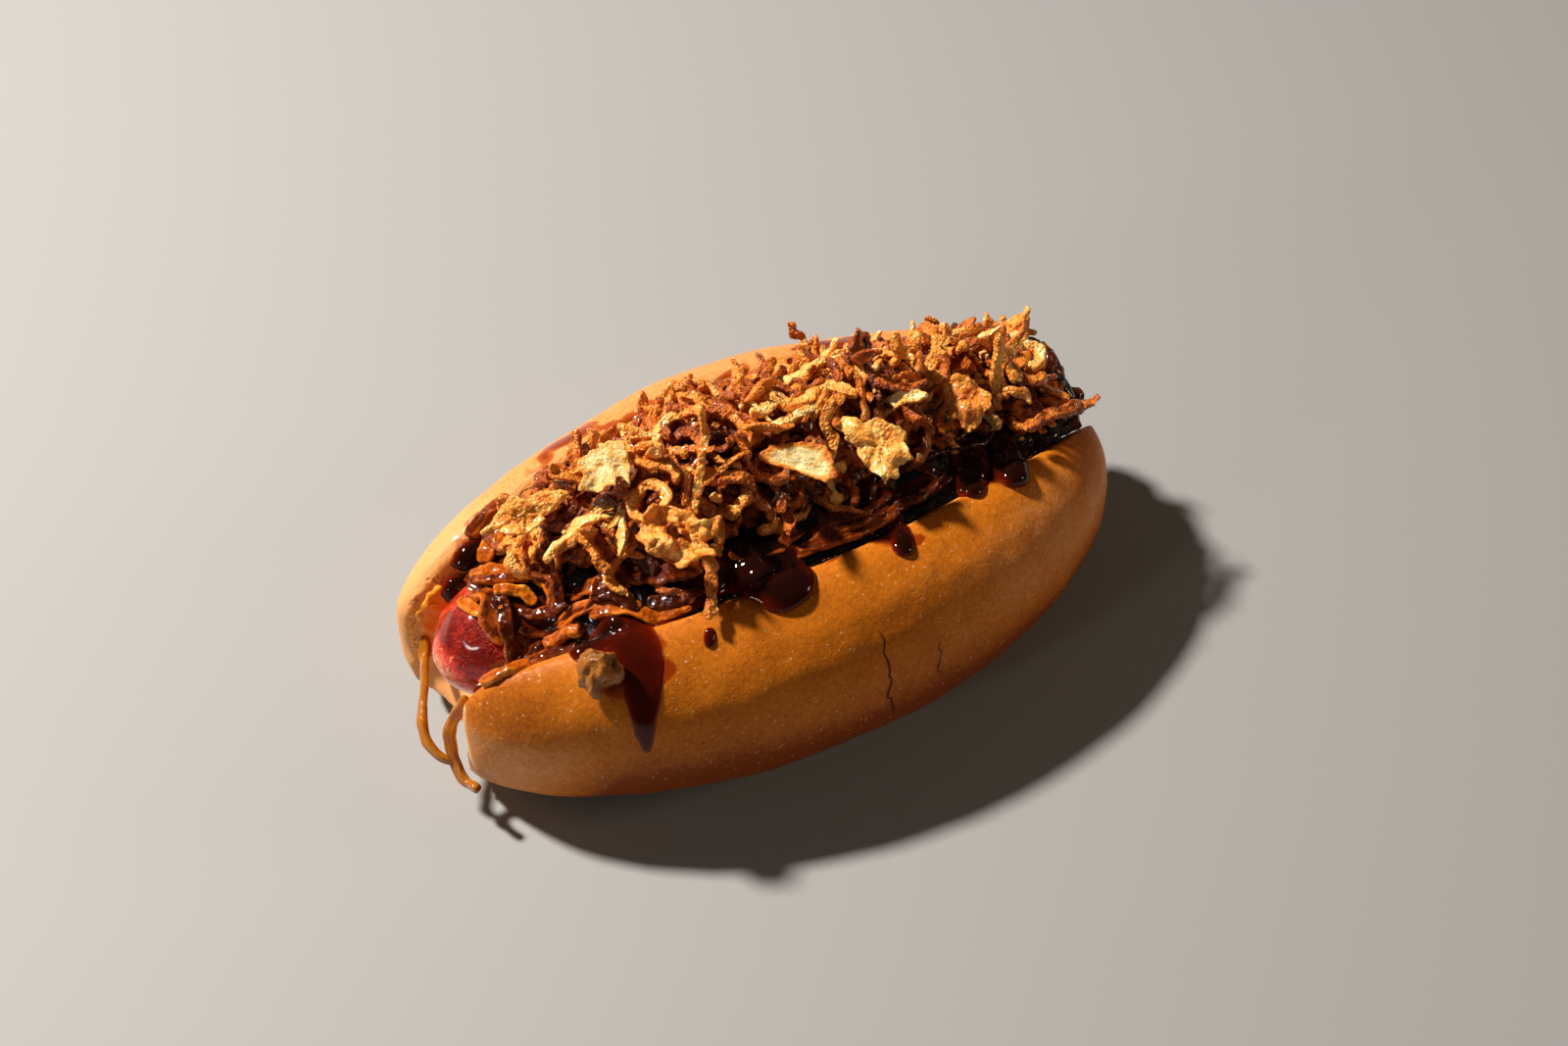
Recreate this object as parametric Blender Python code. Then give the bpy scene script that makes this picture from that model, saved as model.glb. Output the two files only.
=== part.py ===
"""A hot dog: a top-split bread roll with a sausage, caramelised onions and a heap of crisp fried onions.

Metres, +Z up. The roll lies along X, the sausage's bare end at -X, and rests on its flat base at Z 0.
The -Y side wall leans out, and the +Y side wall stands upright. The origin is under the middle of the whole.
"""

import math

import bmesh
import bpy
from mathutils import Vector, noise
from mathutils.bvhtree import BVHTree

MM = 0.001
GAP = 0.3 * MM

# Roll: two side walls, joined by the base under the cut.
ROLL_MIDDLE_X = 3 * MM
ROLL_STATIONS = 36
ROLL_SECTION_POINTS = 13
END_FLAT = 0.985
BASE_SINK = 1.6 * MM

# Cut: a round-bottomed trough along X that flares out to the two rims and opens the roll's two ends.
CUT_CENTRE_Y = 5 * MM
CUT_FLOOR = 13.7 * MM
CUT_RADIUS = 12.8 * MM
CUT_RIM_HEIGHT = 47 * MM
CUT_FLARE_POWER = 1.25
CUT_FLARE_STEPS = (0.12, 0.28, 0.5, 0.75, 1.0)
CUT_ROUND_STEPS = 6
CUT_TOP = 78 * MM
CUT_REACH = 80 * MM
CUT_STATIONS = 30
NEAR_FLARE_WIDTH = 31.5 * MM
NEAR_FLARE_CENTRE_X = 18 * MM
NEAR_FLARE_PINCH = 9.6 * MM
FAR_FLARE_WIDTH = 25 * MM
FAR_FLARE_PINCH = 6 * MM
NOTCH_START = 65 * MM
NOTCH_LENGTH = 10 * MM
NOTCH_DEPTH = 17 * MM

# Sausage: a straight link with domed ends, lying in the cut.
SAUSAGE_RADIUS = 12 * MM
SAUSAGE_HEIGHT = CUT_FLOOR + CUT_RADIUS
SAUSAGE_ENDS = (-71 * MM, 76 * MM)
SAUSAGE_DOME = 14 * MM
SAUSAGE_STATIONS = 20
SAUSAGE_SIDES = 20

# Caramelised onions: a bed that saddles the sausage between the two cut walls.
BED_ENDS = (-57 * MM, 74 * MM)
BED_INSET = 0.62 * MM
BED_FOOT = SAUSAGE_HEIGHT + 4 * MM
BED_SADDLE_RADIUS = SAUSAGE_RADIUS + 0.9 * MM
BED_SADDLE_STEPS = 7
BED_THIN = 2 * MM
BED_CROWN = 5 * MM
BED_RIM_DROP = 1.0 * MM
BED_TAPER = (18 * MM, 14 * MM)
BED_END_SHARE = (0.05, 0.35)
BED_RELIEF = 1.0 * MM
BED_STATIONS = 32
BED_COLUMNS = 13

# Crisp fried onions: an uneven heap on the bed, from the +Y rim to short of the -Y rim.
HEAP_STATIONS = (2, 31)
HEAP_COLUMNS = 11
HEAP_NEAR_EDGE = (0.42, 0.22, 0.10)
HEAP_FAR_EDGE = (0.86, 0.95, 0.97)
HEAP_LIFT = 1.0 * MM
HEAP_EDGE = 1.8 * MM
HEAP_HEIGHT = 11.5 * MM
HEAP_CREST_AT = 0.38
HEAP_RELIEF = 2.2 * MM
HEAP_LUMP = 9 * MM

# Loose crisp flakes lying on the heap: place, heading in degrees, length, width, tilt towards -Y, curl, roundness.
FLAKES = {
    "flake_pale_square": ((-29.5, 4.5), -8, 10.5, 9.5, 14, 0.10, 5.0),
    "flake_gold_leaf": ((-44.0, 7.0), 0, 17.0, 8.5, -8, 0.10, 1.6),
    "flake_cream_almond": ((4.5, -9.0), -10, 14.5, 6.0, 10, 0.12, 1.9),
    "flake_gold_broad": ((20.0, -10.5), 0, 14.5, 12.0, 4, 0.14, 3.0),
    "flake_olive_leaf": ((43.0, -8.0), 40, 13.0, 10.0, 6, 0.12, 2.2),
    "flake_gold_curl": ((-24.0, -11.5), 20, 13.5, 9.0, 0, 0.25, 2.4),
}
FLAKE_THICKNESS = 1.1 * MM
FLAKE_ROWS = 7
FLAKE_COLUMNS = 5
FLAKE_CLEARANCE = 0.6 * MM
FLAKE_REACH = 20 * MM

# Single strands: points along each in millimetres.
STRAND_STATIONS = 12
STRAND_SIDES = 6
LOOPED_STRAND = (
    (-68.6, 14.6, 18.5), (-71.6, 8.4, 18.2), (-74.0, 3.8, 18.0), (-76.1, -0.2, 17.4), (-76.4, -3.4, 15.6),
    (-75.6, -6.0, 14.0),
)
HANGING_STRAND = (
    (-68.6, -4.8, 24.6), (-70.4, -4.2, 21.2), (-72.2, -5.2, 18.2), (-73.0, -7.2, 14.6), (-73.2, -9.6, 11.4),
    (-72.6, -12.6, 10.6), (-72.0, -15.0, 12.2),
)
DRAPED_STRIP = (
    (-19.5, -14.5, 50.8), (-20.3, -18.0, 50.4), (-21.4, -21.0, 49.2), (-23.3, -23.6, 48.0), (-25.4, -26.2, 46.6),
)
STANDING_STICK = ((23.4, 20.0, 53.0), (23.0, 21.0, 55.2), (22.4, 22.0, 57.4), (21.4, 23.0, 59.6))
END_STRAND = (
    (53.0, -15.8, 47.0), (60.0, -15.0, 46.6), (67.0, -14.0, 44.4), (72.5, -12.6, 41.8), (74.6, -12.4, 43.0),
)
RESTING_STRIP = ((-39.5, -1.2, 55.4), (-39.0, -3.8, 54.2), (-38.2, -6.8, 52.4), (-37.4, -9.4, 50.2))

# A soft lump of onion on the -Y rim.
LUMP_PLACE = (-46.9, -24.0, 44.6)
LUMP_RADII = (4.6, 3.4, 3.2)
LUMP_RELIEF = 0.12


class Wall:
    """One side wall of the roll: where its crest runs, how wide and high it is, and how it rounds off."""

    def __init__(self, side, centre, skew, width, crest, tilt, waist, middle_x, half_length, powers):
        self.side = side
        self.centre = centre
        self.skew = skew
        self.width = width
        self.crest = crest
        self.tilt = tilt
        self.waist = waist
        self.middle_x = middle_x
        self.half_length = half_length
        self.section_power, self.plan_power, self.crest_taper, self.belly_taper = powers

    def share_of_width(self, x):
        u = min(abs(x - self.middle_x) / self.half_length, 1)
        return (1 - u**self.plan_power) ** (1 / self.plan_power)

    def centre_y(self, x):
        return self.centre + self.skew * (x - ROLL_MIDDLE_X)

    def crest_height(self, x):
        crest = self.crest + self.tilt * (x - ROLL_MIDDLE_X)
        return self.waist + (crest - self.waist) * self.share_of_width(x) ** self.crest_taper

    def point(self, u, angle):
        """A point of the crust: angle runs from -90 degrees under the wall to +90 degrees on its crest."""
        x = self.middle_x + self.half_length * u
        share = self.share_of_width(x)
        across = max(math.cos(angle), 0) ** (2 / self.section_power)
        rise = math.copysign(abs(math.sin(angle)) ** (2 / self.section_power), angle)
        y = self.centre_y(x) + self.side * self.width * share * across
        if rise > 0:
            z = self.waist + rise * (self.crest_height(x) - self.waist)
        else:
            z = self.waist + rise * (self.waist + BASE_SINK) * share**self.belly_taper
        return Vector((x, y, z))

    def height_at(self, x, y):
        """The height of the crust over the point (x, y)."""
        reach = max(self.width * self.share_of_width(x), 1e-9)
        share = min(max(self.side * (y - self.centre_y(x)), 0) / reach, 1)
        rise = (1 - share**self.section_power) ** (1 / self.section_power)
        return self.waist + rise * (self.crest_height(x) - self.waist)


NEAR_WALL = Wall(
    side=-1, centre=-7.4 * MM, skew=-0.025, width=37.4 * MM, crest=48.2 * MM, tilt=-0.02, waist=20.2 * MM,
    middle_x=ROLL_MIDDLE_X, half_length=75 * MM, powers=(2.41, 1.87, 0.54, 0.25),
)
FAR_WALL = Wall(
    side=1, centre=20.3 * MM, skew=-0.007, width=24.5 * MM, crest=47.4 * MM, tilt=-0.004, waist=18 * MM,
    middle_x=1.4 * MM, half_length=73.5 * MM, powers=(2.6, 1.63, 0.555, 0.33),
)


# ---- shared helpers


def clear_scene():
    for item in list(bpy.data.objects):
        bpy.data.objects.remove(item)


def material(name, colour, roughness):
    made = bpy.data.materials.new(name)
    made.use_nodes = True
    shader = made.node_tree.nodes["Principled BSDF"]
    shader.inputs["Base Color"].default_value = (*colour, 1)
    shader.inputs["Roughness"].default_value = roughness
    shader.inputs["Metallic"].default_value = 0
    made.diffuse_color = (*colour, 1)
    return made


def add_object(name, work, finish=None):
    """Turns a bmesh into a named object with smooth shading and outward faces, and frees the bmesh."""
    bmesh.ops.recalc_face_normals(work, faces=work.faces)
    if work.calc_volume(signed=True) < 0:
        bmesh.ops.reverse_faces(work, faces=work.faces)
    mesh = bpy.data.meshes.new(name)
    work.to_mesh(mesh)
    work.free()
    made = bpy.data.objects.new(name, mesh)
    bpy.context.scene.collection.objects.link(made)
    if finish:
        mesh.materials.append(finish)
        mesh.shade_smooth()
        mesh.set_sharp_from_angle(angle=math.radians(50))
    return made


def cut_away(target, cutter):
    modifier = target.modifiers.new("cut", "BOOLEAN")
    modifier.operation = "DIFFERENCE"
    modifier.solver = "EXACT"
    modifier.object = cutter
    cutter.hide_render = True
    cutter.display_type = "WIRE"


def blend(a, b, share):
    return a + (b - a) * share


def smooth(share):
    """0 below 0, 1 above 1, and an even S between."""
    share = min(max(share, 0), 1)
    return share * share * (3 - 2 * share)


def spread(first, last, count, ends=0.0):
    """Values from first to last. ends is 0 for even steps and 1 for much finer steps at both ends."""
    values = []
    for i in range(count):
        even = i / (count - 1)
        bunched = (1 - math.cos(math.pi * even)) / 2
        values.append(blend(first, last, blend(even, bunched, ends)))
    return values


def loft(rings):
    """A closed bmesh through closed rings of equal length, with a face over the first and the last one."""
    work = bmesh.new()
    rows = [[work.verts.new(point) for point in ring] for ring in rings]
    count = len(rows[0])
    for row, following in zip(rows, rows[1:]):
        for i in range(count):
            j = (i + 1) % count
            work.faces.new((row[i], row[j], following[j], following[i]))
    work.faces.new(reversed(rows[0]))
    work.faces.new(rows[-1])
    return work


def slab(lower, upper):
    """A closed bmesh between two grids of points that have the same rows and columns."""
    rows, columns = len(lower), len(lower[0])
    rings = []
    for i in range(rows):
        rings.append(list(upper[i]) + list(reversed(lower[i])))
    work = bmesh.new()
    verts = [[work.verts.new(point) for point in ring] for ring in rings]
    for row, following in zip(verts, verts[1:]):
        for i in range(2 * columns):
            j = (i + 1) % (2 * columns)
            work.faces.new((row[i], row[j], following[j], following[i]))
    for row, turned in ((verts[0], True), (verts[-1], False)):
        for i in range(columns - 1):
            j = 2 * columns - 1 - i
            corners = (row[i], row[i + 1], row[j - 1], row[j])
            work.faces.new(corners if turned else tuple(reversed(corners)))
    return work


def smooth_path(points, count):
    """Evenly counted points on a smooth curve through the given ones."""
    ends = [2 * points[0] - points[1]] + points + [2 * points[-1] - points[-2]]
    path = []
    for place in spread(0, len(points) - 1, count):
        k = min(int(place), len(points) - 2)
        t = place - k
        a, b, c, d = ends[k : k + 4]
        path.append(0.5 * (2 * b + (c - a) * t + (2 * a - 5 * b + 4 * c - d) * t**2 + (3 * (b - c) + d - a) * t**3))
    return path


def strand(name, points, width, thickness, lie, finish):
    """A strip along a smooth curve, flat towards lie, thinner at both ends."""
    path = smooth_path([Vector(point) * MM for point in points], STRAND_STATIONS)
    rings = []
    for i, point in enumerate(path):
        along = (path[min(i + 1, len(path) - 1)] - path[max(i - 1, 0)]).normalized()
        across = along.cross(Vector(lie)).normalized()
        through = along.cross(across)
        ends = 0.55 + 0.45 * math.sin(math.pi * i / (len(path) - 1)) ** 0.5
        turns = [2 * math.pi * k / STRAND_SIDES for k in range(STRAND_SIDES)]
        rings.append(
            [
                point + (across * width * math.cos(t) + through * thickness * math.sin(t)) * ends / 2
                for t in turns
            ]
        )
    return add_object(name, loft(rings), finish)


# ---- the roll


def roll_ring(u):
    """One section of the uncut roll: up the -Y wall, over the top and down the +Y wall."""
    steps = spread(-math.pi / 2, math.pi / 2, ROLL_SECTION_POINTS)
    near = [NEAR_WALL.point(u, angle) for angle in steps]
    far = [FAR_WALL.point(u, angle) for angle in reversed(steps)]
    return near + far


def cut_floor(x):
    """The trough's floor falls below the base at both ends, which parts the two walls there."""
    return CUT_FLOOR - NOTCH_DEPTH * smooth((abs(x - ROLL_MIDDLE_X) - NOTCH_START) / NOTCH_LENGTH)


def rim_half_width(side, x):
    if side < 0:
        away = abs(x - NEAR_FLARE_CENTRE_X) / NEAR_WALL.half_length
        return NEAR_FLARE_WIDTH - NEAR_FLARE_PINCH * away**3
    away = (x - ROLL_MIDDLE_X) / FAR_WALL.half_length
    return FAR_FLARE_WIDTH - FAR_FLARE_PINCH * away**2


def cut_half_width(side, x, z):
    """The trough's half width: round up to the sausage's middle, then flaring out to the rim."""
    rise = z - cut_floor(x)
    middle = cut_floor(x) + CUT_RADIUS
    if z < middle:
        return math.sqrt(max(CUT_RADIUS**2 - (CUT_RADIUS - rise) ** 2, 0))
    share = (z - SAUSAGE_HEIGHT) / (CUT_RIM_HEIGHT - SAUSAGE_HEIGHT)
    return CUT_RADIUS + (rim_half_width(side, x) - CUT_RADIUS) * max(share, 0) ** CUT_FLARE_POWER


def cut_heights(x):
    floor = cut_floor(x)
    turns = spread(0, math.pi / 2, CUT_ROUND_STEPS + 1)
    heights = [floor + CUT_RADIUS * (1 - math.cos(turn)) for turn in turns]
    flared = [blend(SAUSAGE_HEIGHT, CUT_TOP, step * step) for step in (0.3, 0.45, 0.6, 0.75, 1.0)]
    return heights + flared


def cut_ring(x):
    """One section of the trough, from its -Y rim round the floor to its +Y rim."""
    heights = cut_heights(x)
    near = [Vector((x, CUT_CENTRE_Y - cut_half_width(-1, x, z), z)) for z in reversed(heights)]
    far = [Vector((x, CUT_CENTRE_Y + cut_half_width(1, x, z), z)) for z in heights[1:]]
    return near + far


def make_roll(crust):
    stations = spread(-END_FLAT, END_FLAT, ROLL_STATIONS, ends=0.8)
    work = loft([roll_ring(u) for u in stations])
    everything = work.verts[:] + work.edges[:] + work.faces[:]
    cut = bmesh.ops.bisect_plane(work, geom=everything, plane_co=(0, 0, 0), plane_no=(0, 0, -1), clear_outer=True)
    outline = [item for item in cut["geom_cut"] if isinstance(item, bmesh.types.BMEdge)]
    bmesh.ops.holes_fill(work, edges=outline)
    roll = add_object("bun", work, crust)
    stations = spread(ROLL_MIDDLE_X - CUT_REACH, ROLL_MIDDLE_X + CUT_REACH, CUT_STATIONS, ends=0.6)
    cut_away(roll, add_object("cut_tool", loft([cut_ring(x) for x in stations])))
    return roll


# ---- the sausage


def make_sausage(skin):
    first, last = SAUSAGE_ENDS
    rings = []
    for x in spread(first, last, SAUSAGE_STATIONS, ends=0.85)[1:-1]:
        into = min(x - first, last - x, SAUSAGE_DOME) / SAUSAGE_DOME
        radius = SAUSAGE_RADIUS * math.sqrt(1 - (1 - into) ** 2)
        turns = [2 * math.pi * k / SAUSAGE_SIDES for k in range(SAUSAGE_SIDES)]
        rings.append(
            [
                Vector((x, CUT_CENTRE_Y + radius * math.cos(t), SAUSAGE_HEIGHT + radius * math.sin(t)))
                for t in turns
            ]
        )
    return add_object("sausage", loft(rings), skin)


# ---- the onions


def rim_height(side, x):
    """Where the trough meets the crust of one wall, found by halving."""
    wall = NEAR_WALL if side < 0 else FAR_WALL
    low, high = SAUSAGE_HEIGHT, 60 * MM
    for _ in range(30):
        z = (low + high) / 2
        y = CUT_CENTRE_Y + side * cut_half_width(side, x, z)
        if wall.height_at(x, y) > z:
            low = z
        else:
            high = z
    return low


def bed_wall_point(side, x, z):
    return Vector((x, CUT_CENTRE_Y + side * (cut_half_width(side, x, z) - BED_INSET), z))


def relief(x, y, size, seed):
    return noise.noise(Vector((x / size, y / size, seed)))


def bed_fullness(x):
    """1 along most of the bed, falling to a thin layer at its two ends."""
    first, last = BED_ENDS
    rise, fall = BED_TAPER
    return smooth((x - first) / rise + BED_END_SHARE[0]) * smooth((last - x) / fall + BED_END_SHARE[1])


def bed_edge(side, x):
    """The bed's upper edge on one wall of the cut."""
    rim = max(rim_height(side, x) - BED_RIM_DROP, BED_FOOT + BED_THIN)
    return bed_wall_point(side, x, blend(BED_FOOT + BED_THIN, rim, bed_fullness(x)))


def bed_top(x, v):
    """The bed's upper surface: v is 0 at the -Y wall and 1 at the +Y wall."""
    point = bed_edge(-1, x).lerp(bed_edge(1, x), v)
    bumps = BED_RELIEF * relief(x, point.y, HEAP_LUMP, 3.0)
    crown = (BED_CROWN + bumps) * math.sin(math.pi * v) * bed_fullness(x)
    beside = min(abs(point.y - CUT_CENTRE_Y), BED_SADDLE_RADIUS)
    over_sausage = SAUSAGE_HEIGHT + math.sqrt(BED_SADDLE_RADIUS**2 - beside**2) + BED_THIN
    return Vector((x, point.y, max(point.z + crown, over_sausage)))


def bed_stations():
    return spread(*BED_ENDS, BED_STATIONS)


def bed_columns():
    return spread(0, 1, BED_COLUMNS + 1)


def bed_underside(x):
    """From the +Y rim down the wall to the foot, over the sausage, and up the other wall."""
    points = []
    near_top, far_top = bed_top(x, 0).z, bed_top(x, 1).z
    for share in (0.55, 0.0):
        points.append(bed_wall_point(1, x, blend(BED_FOOT, far_top, share)))
    foot_angle = math.asin((BED_FOOT - SAUSAGE_HEIGHT) / BED_SADDLE_RADIUS)
    for turn in spread(foot_angle, math.pi - foot_angle, BED_SADDLE_STEPS):
        y = CUT_CENTRE_Y + BED_SADDLE_RADIUS * math.cos(turn)
        points.append(Vector((x, y, SAUSAGE_HEIGHT + BED_SADDLE_RADIUS * math.sin(turn))))
    for share in (0.0, 0.55):
        points.append(bed_wall_point(-1, x, blend(BED_FOOT, near_top, share)))
    return points


def make_bed(onion):
    rings = [[bed_top(x, v) for v in bed_columns()] + bed_underside(x) for x in bed_stations()]
    return add_object("caramelised_onions", loft(rings), onion)


def heap_edge(edges, along, seed):
    """How far across the bed the heap's edge lies: one share for each end and the middle, a little ragged."""
    first, middle, last = edges
    ends = blend(first, middle, smooth(along / 0.2)) + blend(0, last - middle, smooth((along - 0.75) / 0.25))
    return ends + 0.03 * relief(along, 0, 0.07, seed)


def heap_height(x, y, along, across):
    """The heap's thickness: highest at its crest, rounding down to a low edge, with lumps all over."""
    if across < HEAP_CREST_AT:
        slope = (1 - (1 - across / HEAP_CREST_AT) ** 2.2) ** 0.8
    else:
        slope = 1 - ((across - HEAP_CREST_AT) / (1 - HEAP_CREST_AT)) ** 1.4
    swell = slope * (1 - abs(2 * along - 1) ** 3.2) ** 0.6
    lumps = relief(x, y, HEAP_LUMP, 7.5) + 0.5 * relief(x, y, HEAP_LUMP / 2, 1.5)
    height = HEAP_EDGE + HEAP_HEIGHT * swell + HEAP_RELIEF * lumps * min(1, 2 * swell + 0.2)
    return max(height, 0.7 * HEAP_EDGE)


def heap_surfaces():
    """The underside and the top of the heap, as two grids of points."""
    lower, upper = [], []
    first, last = HEAP_STATIONS
    for i, x in enumerate(bed_stations()[first:last]):
        along = i / (last - first - 1)
        near = heap_edge(HEAP_NEAR_EDGE, along, 4.5)
        far = heap_edge(HEAP_FAR_EDGE, along, 9.5)
        columns = [j / (HEAP_COLUMNS - 1) for j in range(HEAP_COLUMNS)]
        row = [bed_top(x, blend(near, far, across)) + Vector((0, 0, HEAP_LIFT)) for across in columns]
        heights = [heap_height(x, base.y, along, across) for base, across in zip(row, columns)]
        lower.append(row)
        upper.append([base + Vector((0, 0, height)) for base, height in zip(row, heights)])
    return lower, upper


def make_heap(crisp):
    lower, upper = heap_surfaces()
    return add_object("crispy_onions", slab(lower, upper), crisp)


def evaluated_tree(made):
    """A search tree over an object's finished surface."""
    return BVHTree.FromObject(made, bpy.context.evaluated_depsgraph_get())


def flake_grid(frame, length, width, curl, roundness, lift):
    """The underside of a flake as a grid of points, in a frame of (place, along, across, normal)."""
    place, along, across, normal = frame
    rows = []
    for u in spread(-0.94, 0.94, FLAKE_ROWS):
        half = width / 2 * (1 - abs(u) ** roundness) ** (1 / roundness)
        row = []
        for v in spread(-1, 1, FLAKE_COLUMNS):
            bend = curl * length * (u * u - 0.35) * (1 + 0.4 * v)
            row.append(place + along * u * length / 2 + across * v * half + normal * (bend + lift))
        rows.append(row)
    return rows


def least_clearance(grid, normal, tree):
    """How far the grid stands off the surface under it, along the normal, checked between the grid's points too."""
    least = FLAKE_REACH
    for row, following in zip(grid, grid[1:]):
        for i in range(len(row) - 1):
            for a in (0, 0.25, 0.5, 0.75, 1):
                for b in (0, 0.25, 0.5, 0.75, 1):
                    point = row[i].lerp(row[i + 1], a).lerp(following[i].lerp(following[i + 1], a), b)
                    hit = tree.ray_cast(point + normal * FLAKE_REACH, -normal)[0]
                    if hit:
                        least = min(least, (point - hit).dot(normal))
    return least


def make_flake(name, spec, trees, finish):
    """A thin curled flake, laid along the slope of the heap and lifted just clear of it."""
    (x, y), heading, length, width, tilt, curl, roundness = spec
    hits = [tree.ray_cast(Vector((x, y, 90)) * MM, Vector((0, 0, -1)))[:2] for tree in trees]
    hit, slope = max((found for found in hits if found[0]), key=lambda found: found[0].z)
    lean = Vector((0, -math.sin(math.radians(tilt)), 0))
    normal = (slope + Vector((0, 0, 1.2)) + 2 * lean).normalized()
    turn = math.radians(heading)
    along = Vector((math.cos(turn), math.sin(turn), 0))
    along = (along - normal * along.dot(normal)).normalized()
    frame = (hit, along, normal.cross(along), normal)
    size = (length * MM, width * MM, curl, roundness)
    least = min(least_clearance(flake_grid(frame, *size, 0), normal, tree) for tree in trees)
    lower = flake_grid(frame, *size, FLAKE_CLEARANCE - least)
    upper = [[point + normal * FLAKE_THICKNESS for point in row] for row in lower]
    return add_object(name, slab(lower, upper), finish)


def make_lump(name, finish):
    """A rounded lump with an uneven skin."""
    work = bmesh.new()
    bmesh.ops.create_icosphere(work, subdivisions=2, radius=1)
    for vert in work.verts:
        bumps = 1 + LUMP_RELIEF * noise.noise(vert.co * 1.7)
        spot = [place + radius * way * bumps for place, radius, way in zip(LUMP_PLACE, LUMP_RADII, vert.co)]
        vert.co = Vector(spot) * MM
    return add_object(name, work, finish)


def main():
    clear_scene()
    crust = material("golden_crust", (0.72, 0.36, 0.11), 0.5)
    skin = material("sausage_skin", (0.55, 0.06, 0.02), 0.3)
    onion = material("caramelised_onion", (0.10, 0.025, 0.008), 0.2)
    crisp = material("crisp_onion", (0.60, 0.26, 0.06), 0.6)
    pale = material("pale_flake", (0.85, 0.62, 0.22), 0.6)
    amber = material("amber_strand", (0.62, 0.25, 0.04), 0.2)
    make_roll(crust)
    make_sausage(skin)
    bed = make_bed(onion)
    heap = make_heap(crisp)
    trees = [evaluated_tree(heap), evaluated_tree(bed)]
    for name, spec in FLAKES.items():
        make_flake(name, spec, trees, pale)
    strand("strand_looped", LOOPED_STRAND, 2.2 * MM, 1.2 * MM, (0, 0, 1), amber)
    strand("strand_hanging", HANGING_STRAND, 2.2 * MM, 1.2 * MM, (1, 0, 0.1), amber)
    strand("strip_draped", DRAPED_STRIP, 2.8 * MM, 1.3 * MM, (0.1, 0, 1), pale)
    strand("stick_standing", STANDING_STICK, 2.4 * MM, 1.4 * MM, (0, 1, 0), crisp)
    strand("strand_far_end", END_STRAND, 2.6 * MM, 1.6 * MM, (0, 0, 1), crisp)
    make_lump("onion_lump", amber)
    strand("strip_resting", RESTING_STRIP, 2.8 * MM, 1.3 * MM, (-0.5, 0, 1), pale)


main()
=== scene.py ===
"""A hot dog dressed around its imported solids: baked roll, sausage, glazed onions, crisp onions and sauce."""

import math
import random

import bmesh
import bpy
import numpy as np
from bpy.props import FloatProperty, FloatVectorProperty, IntProperty, PointerProperty
from mathutils import Matrix, Vector, noise
from mathutils.bvhtree import BVHTree


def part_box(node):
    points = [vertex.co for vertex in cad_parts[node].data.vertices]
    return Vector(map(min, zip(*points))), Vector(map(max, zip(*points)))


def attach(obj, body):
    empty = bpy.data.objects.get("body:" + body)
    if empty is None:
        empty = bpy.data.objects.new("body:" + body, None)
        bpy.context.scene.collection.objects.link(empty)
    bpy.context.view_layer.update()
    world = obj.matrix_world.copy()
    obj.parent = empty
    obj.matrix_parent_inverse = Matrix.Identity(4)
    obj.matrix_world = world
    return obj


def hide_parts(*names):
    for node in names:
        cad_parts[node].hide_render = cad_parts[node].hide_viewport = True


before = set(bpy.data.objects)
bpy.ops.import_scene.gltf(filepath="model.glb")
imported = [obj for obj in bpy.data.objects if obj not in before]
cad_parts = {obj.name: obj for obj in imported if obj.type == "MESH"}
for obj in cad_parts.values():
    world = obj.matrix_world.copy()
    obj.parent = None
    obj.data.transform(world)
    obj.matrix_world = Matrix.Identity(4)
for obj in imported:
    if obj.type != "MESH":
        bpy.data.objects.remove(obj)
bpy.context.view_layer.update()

bl_info = {
    "name": "Hot dog with crisp onions",
    "version": (1, 0, 0),
    "blender": (4, 5, 0),
    "location": "3D View > Sidebar > Hot dog",
    "description": "Dresses a packed hot dog: roll, sausage, glazed onions, crisp onions and sauce",
    "category": "Object",
}

MM = 0.001
BODY = "root"
UP = Vector((0, 0, 1))
NOISE_SEED = 3

# Line inside each wall that sauce runs are measured round: Y and height, and the radius they unroll at.
NEAR_WALL_CORE = (-20 * MM, 22 * MM)
UNROLL_RADIUS = 24 * MM
REACH = 70 * MM
CUT_SIDE_Y = 19
CUT_SIDE_REACH = 30 * MM


# ---- settings


def colour(name, note, value):
    return FloatVectorProperty(name=name, description=note, subtype="COLOR", size=3, min=0, max=1, default=value)


def distance(name, note, value):
    return FloatProperty(name=name, description=note, unit="LENGTH", min=0, default=value)


def share(name, note, value):
    return FloatProperty(name=name, description=note, subtype="FACTOR", min=0, max=1, default=value)


class RollSettings(bpy.types.PropertyGroup):
    pale: colour("Pale crust", "Crust where it baked least", (0.79, 0.35, 0.12))
    golden: colour("Golden crust", "Most of the crust", (0.60, 0.165, 0.008))
    brown: colour("Brown crust", "Crust where it baked most", (0.24, 0.042, 0.001))
    crumb: colour("Crumb", "The cut inside of the roll", (0.96, 0.43, 0.10))
    flour: colour("Flour", "Dusting round the foot", (0.84, 0.54, 0.25))
    film: colour("Sauce film", "What a thin film of sauce does to the crust", (0.58, 0.26, 0.10))
    soaked: colour("Soaked crust", "Crust under a thick smear of sauce", (0.20, 0.022, 0.003))
    grain: distance("Surface grain", "Size of the smallest form kept in the roll", 0.8 * MM)
    waviness: distance("Waviness", "How uneven the baked surface is", 0.5 * MM)


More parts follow.
